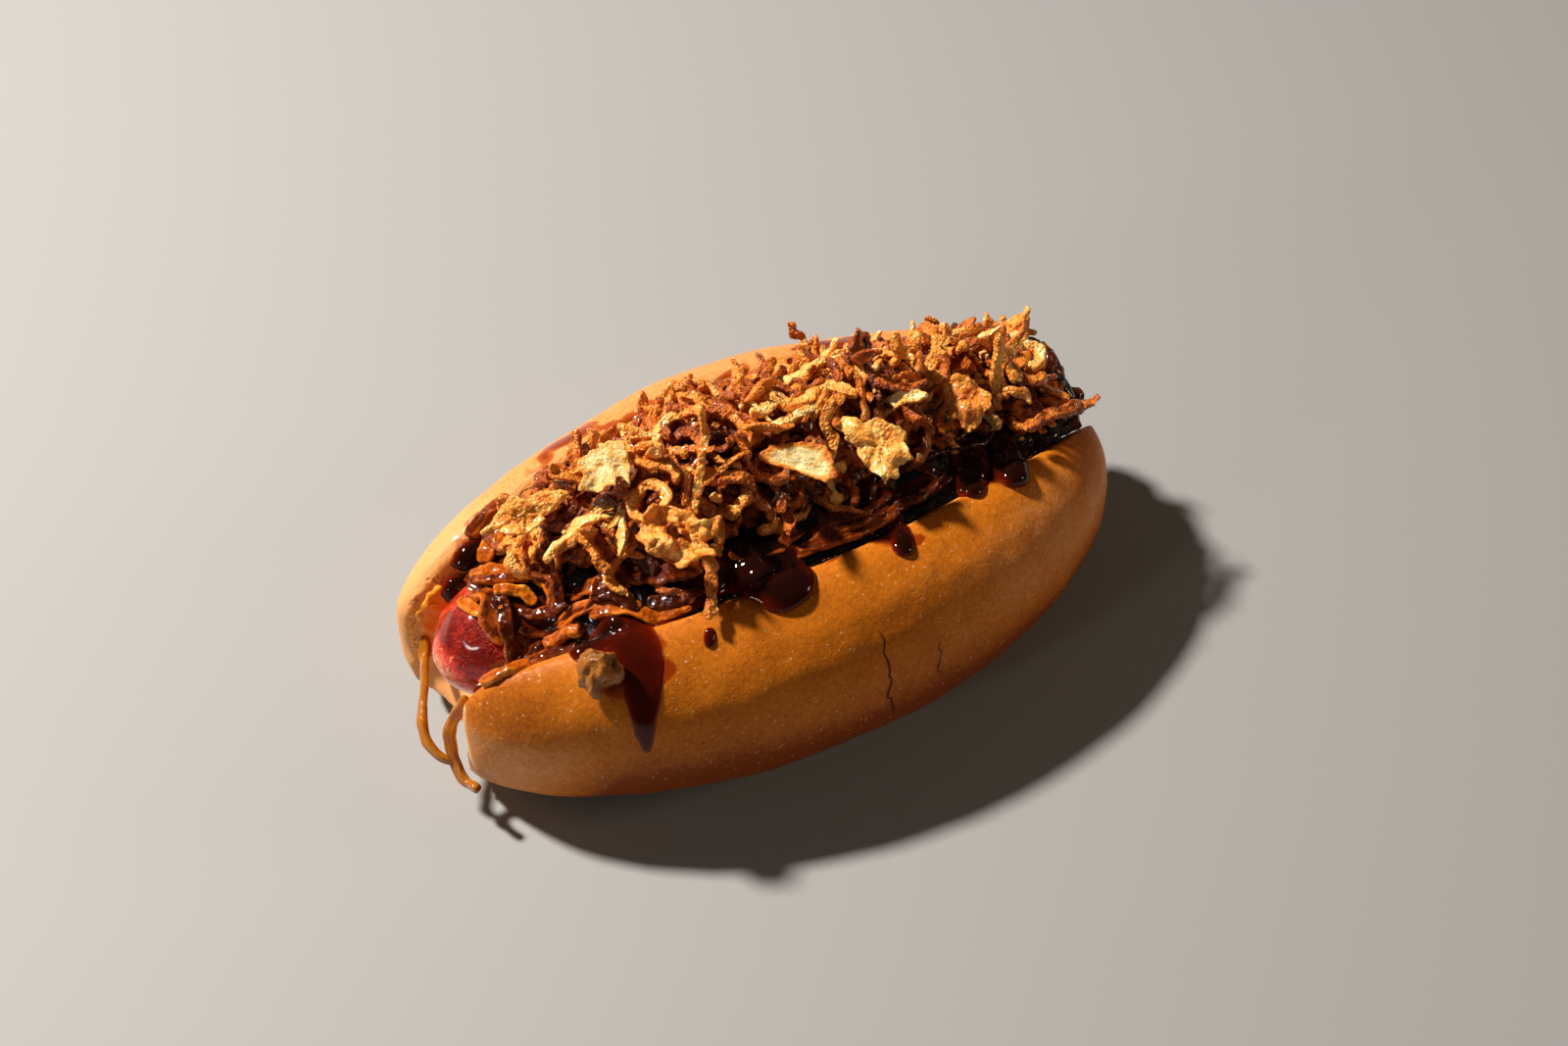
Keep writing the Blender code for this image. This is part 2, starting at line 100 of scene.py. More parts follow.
class SausageSettings(bpy.types.PropertyGroup):
    # The skin's stops are laid along a number that is mostly painted light: deep red for the shaded skin, bright red
    # and orange for lit skin.
    red: colour("Deep red", "Skin where it is darkest", (0.16, 0.004, 0.001))
    bright: colour("Bright red", "Skin where the light comes through", (0.68, 0.034, 0.008))
    orange: colour("Orange", "Glaze and fat on the skin", (0.90, 0.24, 0.045))
    # Pale streaks stand for painted highlights on the wrinkled skin.
    painted_highlight_streak: colour("Streaks", "Pale streaks in the brightest skin", (0.95, 0.42, 0.26))
    wrinkle: distance("Wrinkles", "Depth of the wrinkles", 0.16 * MM)


class GlazedSettings(bpy.types.PropertyGroup):
    width: distance("Strip width", "Width of a glazed onion strip", 2.6 * MM)
    thickness: distance("Strip thickness", "Thickness of a glazed onion strip", 1.0 * MM)
    black: colour("Darkest onion", "Onion soaked in sauce", (0.004, 0.0008, 0.0004))
    brown: colour("Brown onion", "Onion cooked brown", (0.11, 0.013, 0.0010))
    orange: colour("Orange onion", "Onion that lets light through", (0.58, 0.115, 0.005))
    amber: colour("Amber onion", "Onion with little colour", (0.88, 0.38, 0.03))


class CrispSettings(bpy.types.PropertyGroup):
    count: IntProperty(name="Shreds", description="Number of crisp shreds", min=1, default=700)
    crumbs: IntProperty(name="Crumbs", description="Number of loose crumbs", min=1, default=170)
    burnt: colour("Dark shreds", "Shreds fried longest", (0.07, 0.010, 0.001))
    brown: colour("Brown shreds", "Well fried shreds", (0.32, 0.052, 0.003))
    orange: colour("Orange shreds", "Shreds just turning brown", (0.60, 0.130, 0.006))
    golden: colour("Golden shreds", "Most shreds", (0.82, 0.272, 0.024))
    yellow: colour("Yellow shreds", "Lightly fried shreds", (0.95, 0.47, 0.092))
    cream: colour("Cream shreds", "Hardly fried flakes", (0.98, 0.76, 0.36))


class SauceSettings(bpy.types.PropertyGroup):
    deep: colour("Deep sauce", "Sauce where it is thick", (0.012, 0.0022, 0.0010))
    thin: colour("Thin sauce", "Sauce at its edges", (0.26, 0.014, 0.002))
    sink: distance("Sink", "How far a run of sauce reaches into the surface under it", 0.5 * MM)


class StageSettings(bpy.types.PropertyGroup):
    floor: colour("Floor", "Colour of the floor", (0.33, 0.325, 0.32))
    floor_size: distance("Floor size", "Side of the floor", 6.0)
    turn: FloatProperty(
        name="Camera turn", description="Degrees round from the front", default=math.radians(-30.483), subtype="ANGLE"
    )
    rise: FloatProperty(
        name="Camera rise", description="Degrees above the floor", default=math.radians(49.2), subtype="ANGLE"
    )
    camera_distance: distance("Camera distance", "From the camera to what it looks at", 0.48342)
    lens: FloatProperty(name="Lens", description="Focal length in millimetres", default=50.0)


SETTINGS = {
    "roll_look": RollSettings,
    "sausage_look": SausageSettings,
    "glazed_look": GlazedSettings,
    "crisp_look": CrispSettings,
    "sauce_look": SauceSettings,
    "stage_look": StageSettings,
}


def look(name):
    return getattr(bpy.context.scene, name)


# ---- selecting, shaping and handing over


def deselect():
    if bpy.context.object and bpy.context.object.mode != "OBJECT":
        bpy.ops.object.mode_set(mode="OBJECT")
    bpy.ops.object.select_all(action="DESELECT")


def pick(piece):
    deselect()
    piece.select_set(True)
    bpy.context.view_layer.objects.active = piece


def edit_all(piece):
    pick(piece)
    bpy.ops.object.mode_set(mode="EDIT")
    bpy.ops.mesh.select_all(action="SELECT")


def edited(name):
    """Leaves edit mode and names the piece that was being shaped."""
    bpy.ops.object.mode_set(mode="OBJECT")
    piece = bpy.context.object
    piece.name = piece.data.name = name
    return piece


def modify(piece, kind, **values):
    """Adds one modifier and applies it."""
    pick(piece)
    modifier = piece.modifiers.new(kind.title(), kind)
    for key, value in values.items():
        setattr(modifier, key, value)
    bpy.ops.object.modifier_apply(modifier=modifier.name)


def places(piece):
    spots = np.empty(len(piece.data.vertices) * 3, np.float32)
    piece.data.vertices.foreach_get("co", spots)
    return spots.reshape(-1, 3)


def facings(piece):
    ways = np.empty(len(piece.data.vertices) * 3, np.float32)
    piece.data.vertex_normals.foreach_get("vector", ways)
    return ways.reshape(-1, 3)


def set_places(piece, spots):
    piece.data.vertices.foreach_set("co", np.asarray(spots, np.float32).ravel())
    piece.data.update()


def paint(piece, name, values):
    """Keeps one number for each point, for the piece's finish to read."""
    held = piece.data.attributes.get(name) or piece.data.attributes.new(name, "FLOAT", "POINT")
    held.data.foreach_set("value", np.asarray(values, np.float32).ravel())


def paint_grain(piece, values):
    """Keeps a direction along and across the piece for each point, in millimetres."""
    held = piece.data.attributes.get("grain") or piece.data.attributes.new("grain", "FLOAT_VECTOR", "POINT")
    held.data.foreach_set("vector", np.asarray(values, np.float32).ravel())


def smooth_step(low, high, value):
    t = np.clip((value - low) / (high - low), 0, 1)
    return t * t * (3 - 2 * t)


def hand_over(piece, finish, slot, *nodes, crease=0):
    """Gives a finished piece its material and its body, and hides the solids that it stands for; its slot is not used.
    """
    piece.data.materials.clear()
    piece.data.materials.append(finish)
    pick(piece)
    if crease:
        bpy.ops.object.shade_smooth_by_angle(angle=math.radians(crease))
    else:
        bpy.ops.object.shade_smooth()
    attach(piece, BODY)
    if nodes:
        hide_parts(*nodes)
    return piece


def solid_copy(node, name):
    """A copy of a CAD solid with its loose triangles merged, ready to be worked on."""
    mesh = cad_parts[node].data.copy()
    mesh.materials.clear()
    piece = bpy.data.objects.new(name, mesh)
    bpy.context.scene.collection.objects.link(piece)
    edit_all(piece)
    bpy.ops.mesh.remove_doubles(threshold=0.01 * MM)
    bpy.ops.mesh.normals_make_consistent(inside=False)
    return edited(name)


def tree_of(piece):
    """A search tree over a piece's surface, whether or not the piece is shown."""
    work = bmesh.new()
    work.from_mesh(piece.data)
    tree = BVHTree.FromBMesh(work)
    work.free()
    return tree


def made(name):
    return bpy.data.objects[name]


def uneven(spot, size, seed):
    return noise.noise(Vector(spot) / size + Vector((seed, 1.7 * seed, -seed)))


def roughen(piece, size, depth, seed):
    """Moves each point in or out along its own facing, by lumps of one size."""
    spots, ways = places(piece), facings(piece)
    lumps = np.array([uneven(spot, size, seed) for spot in spots], np.float32)
    set_places(piece, spots + ways * (lumps * depth)[:, None])


def rumple(piece, size, depth, seed):
    """Pushes the whole form about, so that no two copies are alike."""
    spots = places(piece)
    offset = Vector((seed, -seed, 2.1 * seed))
    moves = [noise.noise_vector(Vector(spot) / size + offset) for spot in spots]
    set_places(piece, spots + np.array(moves, np.float32) * depth)


def highest(x, y, trees):
    """The first surface met from straight above, and its facing."""
    found = [tree.ray_cast(Vector((x, y, 90 * MM)), -UP)[:2] for tree in trees]
    found = [hit for hit in found if hit[0]]
    return max(found, key=lambda hit: hit[0].z) if found else (None, None)


# ---- strips: flat bands laid along a line


class Line:
    """A smooth line through points, with the side that faces up at each."""

    def __init__(self, points, ups, steps=0):
        if steps:
            points, ups = self.rounded(points, steps), self.rounded(ups, steps)
        self.points = [Vector(p) for p in points]
        self.ups = [Vector(u) for u in ups]
        gaps = [(b - a).length for a, b in zip(self.points, self.points[1:])]
        self.length = sum(gaps)
        self.marks = [0.0]
        for gap in gaps:
            self.marks.append(self.marks[-1] + gap / self.length)

    @staticmethod
    def rounded(points, steps):
        """Points on a curve that passes through all the given ones."""
        ends = [points[0], *points, points[-1]]
        out = []
        for i in range(len(points) - 1):
            a, b, c, d = (Vector(ends[i + k]) for k in range(4))
            for k in range(steps):
                t = k / steps
                out.append(
                    b + 0.5 * t * ((c - a) + t * ((2 * a - 5 * b + 4 * c - d) + t * (3 * (b - c) + d - a)))
                )
        return [*out, Vector(points[-1])]

    def at(self, u):
        """Place, heading and up at a share of the length."""
        i = 0
        while i < len(self.marks) - 2 and self.marks[i + 1] < u:
            i += 1
        gap = self.marks[i + 1] - self.marks[i]
        t = (u - self.marks[i]) / gap if gap else 0
        place = self.points[i].lerp(self.points[i + 1], t)
        before, after = self.points[max(i - 1, 0)], self.points[min(i + 2, len(self.points) - 1)]
        heading = ((self.points[i + 1] - before) * (1 - t) + (after - self.points[i]) * t).normalized()
        up = self.ups[i].lerp(self.ups[i + 1], t)
        up = (up - heading * up.dot(heading)).normalized()
        return place, heading, up


def curl_line(length, turns, steps=22):
    """A line that bends as it goes: turns gives sideways, upward and rolling bends in degrees at a share u."""
    turned = Matrix.Identity(3)
    spot = Vector()
    points, ups = [spot.copy()], [turned.col[2].copy()]
    for k in range(steps):
        yaw, pitch, roll = (math.radians(value) / steps for value in turns((k + 0.5) / steps))
        step = Matrix.Rotation(yaw, 3, "Z") @ Matrix.Rotation(-pitch, 3, "Y") @ Matrix.Rotation(roll, 3, "X")
        turned = turned @ step
        spot = spot + turned.col[0] * length / steps
        points.append(spot.copy())
        ups.append(turned.col[2].copy())
    middle = sum(points, Vector()) / len(points)
    return Line([p - middle for p in points], ups)


def strip(name, line, width, thickness, seed, ragged=0.0, point=3.0, cup=0.0, steps=0, rows=3, levels=1):
    """A flat band along a line: a grid laid on it, thickened and rounded, with a ragged outline."""
    deselect()
    steps = steps or max(6, round(line.length / MM))
    bpy.ops.mesh.primitive_grid_add(x_subdivisions=steps, y_subdivisions=rows, size=2)
    piece = bpy.context.object
    spots, grain, edges = [], [], []
    for vert in piece.data.vertices:
        u, v = (vert.co.x + 1) / 2, vert.co.y
        place, heading, up = line.at(u)
        side = up.cross(heading)
        edge = noise.noise(Vector((u * line.length / (2.2 * MM), math.copysign(3, v), seed)))
        half = width / 2 * (1 - abs(2 * u - 1) ** point) ** (1 / point) * (1 + ragged * edge)
        half = max(half, 0.16 * width)
        bend = cup * width * (v * v - 0.4) * math.sin(math.pi * u)
        spots.append(place + side * half * v + up * bend)
        grain.append((u * line.length / MM, v * half / MM, seed))
        edges.append(v * v)
    set_places(piece, spots)
    paint_grain(piece, grain)
    paint(piece, "edge", edges)
    piece = named(piece, name)
    modify(piece, "SOLIDIFY", thickness=thickness, offset=0)
    if levels:
        modify(piece, "SUBSURF", levels=levels, render_levels=levels)
    edit_all(piece)
    bpy.ops.mesh.normals_make_consistent(inside=False)
    return edited(name)


def named(piece, name):
    piece.name = piece.data.name = name
    return piece


def joined(name, pieces):
    """Several pieces made into one."""
    deselect()
    for piece in pieces:
        piece.select_set(True)
    bpy.context.view_layer.objects.active = pieces[0]
    bpy.ops.object.join()
    return named(bpy.context.object, name)


def twin(template, name):
    """A copy with its own mesh."""
    copy = bpy.data.objects.new(name, template.data.copy())
    bpy.context.scene.collection.objects.link(copy)
    return copy


def discard(pieces):
    for piece in pieces:
        mesh = piece.data
        bpy.data.objects.remove(piece)
        bpy.data.meshes.remove(mesh)


# ---- finishes

# How far red, green and blue light soak into food, as shares of the depth given for each finish.
SOFT = (1.0, 0.6, 0.35)
# A weak coat keeps small bright highlights and leaves dark food dark.
THIN_GLOSS = 1.32


class Wire:
    """What comes out of a node, so that sums on it read as plain arithmetic."""

    def __init__(self, finish, socket):
        self.finish = finish
        self.socket = socket

    def _sum(self, operation, *values):
        return self.finish.add("ShaderNodeMath", {"operation": operation}, dict(enumerate(values)))

    def __add__(self, other):
        return self._sum("ADD", self, other)

    def __sub__(self, other):
        return self._sum("SUBTRACT", self, other)

    def __rsub__(self, other):
        return self._sum("SUBTRACT", other, self)

    def __mul__(self, other):
        return self._sum("MULTIPLY", self, other)

    def __truediv__(self, other):
        return self._sum("DIVIDE", self, other)

    __radd__ = __add__
    __rmul__ = __mul__

    def __neg__(self):
        return self * -1

    def __abs__(self):
        return self._sum("ABSOLUTE", self)

    def most(self, other):
        return self._sum("MAXIMUM", self, other)

    def within(self, low, high):
        """0 below low and 1 above high, rising smoothly between."""
        settings = {"interpolation_type": "SMOOTHSTEP"}
        return self.finish.add("ShaderNodeMapRange", settings, {"Value": self, "From Min": low, "From Max": high})


class Finish:
    """A material built from nodes, all of which are added by one method."""

    def __init__(self, name, **constants):
        self.material = bpy.data.materials.new(name)
        self.material.use_nodes = True
        self.nodes = self.material.node_tree.nodes
        self.links = self.material.node_tree.links
        self.nodes.clear()
        self.shader = self.nodes.new("ShaderNodeBsdfPrincipled")
        output = self.nodes.new("ShaderNodeOutputMaterial")
        self.links.new(self.shader.outputs[0], output.inputs["Surface"])
        self.feed(constants)
        self.spot = self.add("ShaderNodeTexCoord", output="Object")

    def put(self, socket, value):
        if isinstance(value, Wire):
            self.links.new(value.socket, socket)
        elif isinstance(value, (tuple, list)) or hasattr(value, "__len__"):
            values = list(value)
            socket.default_value = values + [1.0] if len(socket.default_value) > len(values) else values
        else:
            socket.default_value = value

    def add(self, kind, settings=None, inputs=None, output=0):
        node = self.nodes.new(kind)
        for key, value in (settings or {}).items():
            if key == "stops":
                self.set_stops(node.color_ramp, value)
            else:
                setattr(node, key, value)
        for key, value in (inputs or {}).items():
            self.put(node.inputs[key], value)
        return Wire(self, node.outputs[output])

    @staticmethod
    def set_stops(ramp, stops):
        while len(ramp.elements) < len(stops):
            ramp.elements.new(0.5)
        for element, (position, shade) in zip(ramp.elements, stops):
            element.position = position
            element.color = (*shade, 1)

    def feed(self, values):
        for key, value in values.items():
            self.put(self.shader.inputs[key.replace("_", " ")], value)

    def kept(self, name, output="Fac"):
        """A number or vector kept on the piece."""
        return self.add("ShaderNodeAttribute", {"attribute_name": name}, output=output)

    def clouds(self, size, detail=2.0, rough=0.5, warp=0.0, where=None):
        inputs = {"Scale": 1 / size, "Detail": detail, "Roughness": rough, "Distortion": warp}
        return self.add("ShaderNodeTexNoise", {}, {"Vector": where or self.spot, **inputs})

    def cells(self, size, where=None, feature="F1"):
        inputs = {"Vector": where or self.spot, "Scale": 1 / size}
        return self.add("ShaderNodeTexVoronoi", {"feature": feature}, inputs)

    def stretched(self, wire, sizes):
        """The same place, squeezed by a different amount along each of its axes."""
        return self.add("ShaderNodeVectorMath", {"operation": "MULTIPLY"}, {0: wire, 1: sizes})

    def ramp(self, value, stops):
        return self.add("ShaderNodeValToRGB", {"stops": stops}, {"Fac": value})

    def mix(self, amount, first, second, blend="MIX"):
        settings = {"data_type": "RGBA", "blend_type": blend, "clamp_factor": True}
        return self.add("ShaderNodeMix", settings, {0: amount, 6: first, 7: second}, output=2)

    def relief(self, height, depth, under=None, strength=1.0):
        inputs = {"Height": height, "Distance": depth, "Strength": strength}
        if under:
            inputs["Normal"] = under
        return self.add("ShaderNodeBump", {}, inputs)


def crust_finish():
    """Baked crust with fine pale specks, cracks and a floury foot, and bare crumb where the roll is cut; the crust's
    tone holds painted shade and painted light as well as the bake.
    """
    tones = look("roll_look")
    finish = Finish("baked_crust", Specular_IOR_Level=0.14, Coat_Roughness=0.3)
    broad, patches, fine = finish.clouds(26 * MM, 2), finish.clouds(6 * MM, 4, 0.6), finish.clouds(0.9 * MM, 3, 0.6)
    # The kept number sets the crust's tone: real browning, with painted shade low on the -Y wall and painted light
    # towards its +X end.
    bake = finish.kept("bake") + (broad - 0.5) * 0.14 + (patches - 0.5) * 0.30 + (fine - 0.5) * 0.56
    crust = finish.ramp(bake, [(0.12, tones.pale), (0.5, tones.golden), (0.95, tones.brown)])
    specks = (1 - finish.cells(1.5 * MM).within(0.08, 0.24)) * finish.clouds(3.1 * MM).within(0.42, 0.62)
    crust = finish.mix(specks * 0.6, crust, tones.flour)
    pores = (1 - finish.cells(2.6 * MM).within(0.03, 0.13)) * finish.clouds(5 * MM, 1).within(0.5, 0.6)
    crust = finish.mix(pores * 0.5, crust, tones.brown)
    foot = (finish.kept("foot") * 1.3 - 0.45 + finish.clouds(1.4 * MM, 5, 0.8) * 1.2).within(0.4, 1.05)
    crust = finish.mix(foot * 0.85, crust, tones.flour)
    crack = crack_lines(finish)
    crust = finish.mix(crack, crust, [0.35 * c for c in tones.brown])
    crumb = finish.kept("crumb")
    soft = finish.clouds(2.2 * MM, 4, 0.65)
    inside = finish.mix(soft.within(0.45, 0.8) * 0.6, tones.crumb, tones.golden)
    surface = finish.mix((crumb + (fine - 0.5) * 0.3).within(0.2, 0.9), crust, inside)
    film = (finish.kept("stain") + (patches - 0.5) * 0.5 + (fine - 0.5) * 0.12).within(0.36, 0.62)
    surface = finish.mix(film, surface, finish.mix(1.0, surface, tones.film, "MULTIPLY"))
    heavy = (finish.kept("stain") + (patches - 0.5) * 0.6).within(0.66, 0.98)
    surface = finish.mix(heavy * 0.85, surface, tones.soaked)
    skin = finish.clouds(1.3 * MM, 5, 0.65) * 0.5 + finish.clouds(0.45 * MM, 2) * 0.25 - pores * 0.5 + specks * 0.15
    bubbles = finish.cells(1.4 * MM).within(0.0, 0.5) * crumb * 1.4
    height = (skin + bubbles) * (1 - film * 0.7) - crack * 4
    finish.feed(
        {
            "Base Color": surface,
            "Roughness": 0.46 + (fine - 0.5) * 0.2 + crumb * 0.2 - film * 0.36,
            "Coat Weight": film * 0.7,
            "Normal": finish.relief(height, 0.26 * MM),
        }
    )
    return finish.material


def crack_lines(finish):
    """Two thin splits that run down the -Y side."""
    split = finish.add("ShaderNodeSeparateXYZ", {}, {"Vector": finish.spot}, output="X")
    front = finish.add("ShaderNodeSeparateXYZ", {}, {"Vector": finish.spot}, output="Y")
    height = finish.add("ShaderNodeSeparateXYZ", {}, {"Vector": finish.spot}, output="Z")
    along = finish.add("ShaderNodeCombineXYZ", {}, {"Z": height})
    wander = (finish.clouds(7 * MM, 2, where=along) - 0.5) * (7 * MM)
    jitter = (finish.clouds(1.6 * MM, 3, where=along) - 0.5) * (1.8 * MM)
    breaks = finish.clouds(3 * MM, 3, where=along)
    lines = None
    for x, low, high, width in ((4.6 * MM, 17 * MM, 38 * MM, 0.30 * MM), (16.5 * MM, 21 * MM, 31 * MM, 0.18 * MM)):
        away = abs(split - x + wander + jitter)
        line = (1 - (away / (breaks * 2 * width)).within(0.3, 1.0)) * height.within(low, low + 3 * MM)
        line = line * (1 - height.within(high - 3 * MM, high)) * (1 - front.within(-36 * MM, -33 * MM))
        lines = line if lines is None else lines.most(line)
    return lines


def sausage_finish():
    """Moist smoked skin: deep red, brighter and more orange in patches, with fine wrinkles; painted light brightens the
    side the lamps fall on, with painted highlight streaks.
    """
    tones = look("sausage_look")
    finish = Finish(
        "smoked_skin",
        Subsurface_Weight=0.1,
        Subsurface_Scale=1.5 * MM,
        Subsurface_Radius=(1.0, 0.3, 0.1),
        Specular_IOR_Level=0.1,
        Coat_Roughness=0.12,
        Coat_IOR=1.45,
        Coat_Weight=1.0,
    )
    patches, fine = finish.clouds(7 * MM, 3, 0.6, 0.6), finish.clouds(1.1 * MM, 4, 0.65)
    wrinkles = finish.clouds(1.0 * MM, 3, 0.6, 1.2, finish.stretched(finish.spot, (0.30, 1.0, 1.0)))
    # Painted light: the kept number is highest where the skin is meant to look lit, varied by patches and wrinkles.
    lit = finish.kept("lit") + (patches - 0.5) * 0.7 + (fine - 0.5) * 0.35 + (wrinkles - 0.5) * 0.5
    skin = finish.ramp(lit, [(0.15, tones.red), (0.5, tones.bright), (0.95, tones.orange)])
    # Painted highlights: pale streaks where the painted light is strongest.
    skin = finish.mix((lit + (wrinkles - 0.5) * 2.0).within(0.56, 1.05) * 0.66, skin, tones.painted_highlight_streak)
    height = wrinkles + finish.clouds(0.5 * MM, 2) * 0.5
    finish.feed(
        {"Base Color": skin, "Roughness": 0.3 + (fine - 0.5) * 0.25, "Normal": finish.relief(height, 0.5 * MM)}
    )
    return finish.material


def glazed_finish(name, through=0.0):
    """Onion cooked soft and coated in sauce: the tone kept on each strip runs from black to amber."""
    tones = look("glazed_look")
    finish = Finish(
        name,
        Subsurface_Weight=0.05,
        Subsurface_Scale=1.6 * MM,
        Subsurface_Radius=(1.0, 0.35, 0.10),
        Specular_IOR_Level=0.1,
        Coat_Weight=1.0,
        Coat_Roughness=0.05,
        Coat_IOR=1.45,
        Transmission_Weight=through,
        IOR=1.4,
    )
    grain = finish.kept("grain", "Vector")
    veins = finish.clouds(1.0, 3, 0.6, where=finish.stretched(grain, (0.12, 1.9, 3.0)))
    blots, fine = finish.clouds(4 * MM, 3, 0.6), finish.clouds(0.7 * MM, 3)
    # Painted light: the tone rises towards each strip's edges, as if light shone through the thin rim.
    tone = finish.kept("tone") + (veins - 0.5) * 0.3 + (blots - 0.5) * 0.6 + finish.kept("edge") * 0.22 - 0.06
    stops = [(0.05, tones.black), (0.4, tones.brown), (0.72, tones.orange), (1.0, tones.amber)]
    drops = 1 - finish.cells(1.2 * MM).within(0.0, 0.6)
    height = veins * 0.8 + finish.clouds(1.6 * MM, 2) * 0.7 + fine * 0.1 + drops * 0.4
    finish.feed(
        {
            "Base Color": finish.ramp(tone, stops),
            "Roughness": 0.2 + (fine - 0.5) * 0.2,
            "Normal": finish.relief(height, 0.36 * MM),
        }
    )
    return finish.material


def crisp_finish(name, pits=1.0, gloss=0.0):
    """Fried onion: golden to brown by the tone kept on each shred, blistered and a little oily."""
    tones = look("crisp_look")
    finish = Finish(
        name,
        Subsurface_Weight=0.3,
        Subsurface_Scale=1.2 * MM,
        Subsurface_Radius=SOFT,
        Specular_IOR_Level=0.35,
        Coat_Roughness=0.08,
        Coat_IOR=1.45,
    )
    grain = finish.kept("grain", "Vector")
    veins = finish.clouds(1.0, 3, 0.6, where=finish.stretched(grain, (0.25, 1.6, 3.0)))
    blots, fine = finish.clouds(2.4 * MM, 4, 0.65), finish.clouds(0.5 * MM, 3, 0.6)
    bubbles = 1 - finish.cells(0.75 * MM).within(0.05, 0.6)
    tone = finish.kept("tone") + (blots - 0.5) * 0.85 + (veins - 0.5) * 0.25 + (fine - 0.5) * 0.5
    tone = tone + (bubbles - 0.4) * 0.14 - finish.kept("edge") * 0.14
    stops = [
        (0.0, tones.burnt),
        (0.25, tones.brown),
        (0.42, tones.orange),
        (0.60, tones.golden),
        (0.80, tones.yellow),
        (1.0, tones.cream),
    ]
    height = bubbles * pits + veins * 0.5 + fine * 0.7
    finish.feed(
        {
            "Base Color": finish.ramp(tone, stops),
            "Roughness": 0.42 - gloss * 0.2 + (fine - 0.5) * 0.4,
            "Coat Weight": 0.5 + gloss * 0.5 + (blots - 0.5) * 0.9,
            "Normal": finish.relief(height, 0.38 * MM),
        }
    )
    return finish.material


def core_finish():
    """What shows deep between the shreds: crumbs stuck together with sauce, dark partly as painted shade between the
    shreds.
    """
    tones, dark = look("crisp_look"), look("glazed_look")
    finish = Finish("sauced_crumbs_painted_shade", Specular_IOR_Level=0.15, Coat_Roughness=0.06, Coat_IOR=THIN_GLOSS)
    patches, fine = finish.clouds(5 * MM, 4, 0.6), finish.clouds(1.2 * MM, 3, 0.6)
    dry = (patches + (fine - 0.5) * 0.6).within(0.30, 0.60)
    crumbs = finish.ramp(fine, [(0.2, tones.burnt), (0.42, tones.brown), (0.7, tones.orange)])
    finish.feed(
        {
            "Base Color": finish.mix(dry, dark.black, crumbs),
            "Roughness": 0.15 + dry * 0.35,
            "Coat Weight": 1 - dry,
            "Normal": finish.relief(fine + patches, 0.4 * MM),
        }
    )
    return finish.material


def sauce_finish():
    """Thick dark sauce, red and see-through where it runs thin."""
    tones = look("sauce_look")
    finish = Finish("dark_sauce", Specular_IOR_Level=0.0, Coat_Weight=1.0, Coat_Roughness=0.03, Coat_IOR=THIN_GLOSS)
    thin = finish.kept("thin") + (finish.clouds(2 * MM, 2) - 0.5) * 0.15
    shade = finish.ramp(thin, [(0.25, tones.deep), (0.6, [0.3 * c for c in tones.thin]), (0.9, tones.thin)])
    finish.feed(
        {
            "Base Color": shade,
            "Roughness": 0.07 + thin * 0.05,
            "Alpha": 1 - thin.within(0.55, 1.0) * 0.5,
            "Normal": finish.relief(finish.clouds(2.6 * MM, 2), 0.12 * MM),
        }
    )
    return finish.material


def amber_finish(name, deep, middle, pale, through=0.3):
    """Soft onion or glaze that lets light through."""
    finish = Finish(
        name,
        Subsurface_Weight=0.4,
        Subsurface_Scale=1.8 * MM,
        Subsurface_Radius=(1.0, 0.40, 0.08),
        Specular_IOR_Level=0.1,
        Transmission_Weight=through,
        IOR=1.4,
        Coat_Weight=1.0,
        Coat_Roughness=0.03,
        Coat_IOR=THIN_GLOSS,
    )
    grain = finish.kept("grain", "Vector")
    veins = finish.clouds(1.0, 3, 0.6, where=finish.stretched(grain, (0.10, 1.4, 3.0)))
    blots = finish.clouds(3.5 * MM, 3, 0.6)
    finish.feed(
        {
            "Base Color": finish.ramp(blots * 0.6 + veins * 0.4, [(0.25, deep), (0.55, middle), (0.85, pale)]),
            "Roughness": 0.1 + blots * 0.1,
            "Normal": finish.relief(veins + blots, 0.25 * MM),
        }
    )
    return finish.material


def floor_finish():
    finish = Finish("pale_floor", Roughness=0.7)
    tone = look("stage_look").floor
    fine = finish.clouds(0.4, 4, 0.6)
    finish.feed({"Base Color": finish.mix(fine, tone, [0.97 * c for c in tone])})
    return finish.material


# ---- roll


# Sauce films on the roll: middle, reach along each axis, and strength, in millimetres.
FILMS = (
    ((-26.0, 31.0, 43.0), (13.0, 5.0, 5.0), 0.95),
    ((-14.0, 28.0, 45.5), (9.0, 4.0, 4.0), 0.7),
    ((36.0, 29.5, 42.0), (13.0, 5.0, 6.0), 1.15),
    ((62.0, 24.0, 36.5), (10.0, 4.5, 6.0), 1.1),
    ((5.0, 27.5, 45.0), (15.0, 3.6, 4.0), 0.85),
    ((-50.0, 23.0, 39.0), (7.0, 3.5, 4.0), 0.6),
    ((-41.0, -24.0, 42.0), (8.5, 9.0, 7.0), 0.9),
    ((-46.0, -23.0, 41.0), (7.0, 7.0, 6.0), 0.75),
    ((-9.0, -24.0, 45.0), (9.0, 6.0, 4.0), 0.7),
    ((17.5, -25.0, 45.0), (6.0, 5.0, 4.0), 0.72),
    ((-22.0, -22.0, 45.0), (12.0, 2.6, 3.0), 0.6),
    ((42.0, -19.0, 42.0), (11.0, 5.0, 5.0), 0.7),
    ((10.0, -22.5, 45.0), (26.0, 1.8, 3.0), 0.62),
    ((66.0, -13.0, 38.0), (9.0, 3.0, 5.0), 0.6),
    ((-68.0, -8.0, 28.0), (5.0, 4.0, 9.0), 0.65),
)
CREST_BAKE = (20 * MM, 47 * MM)
FOOT_HEIGHT = 5 * MM
CUT_MIDDLE = 5 * MM


FILM_WANDER = 5 * MM


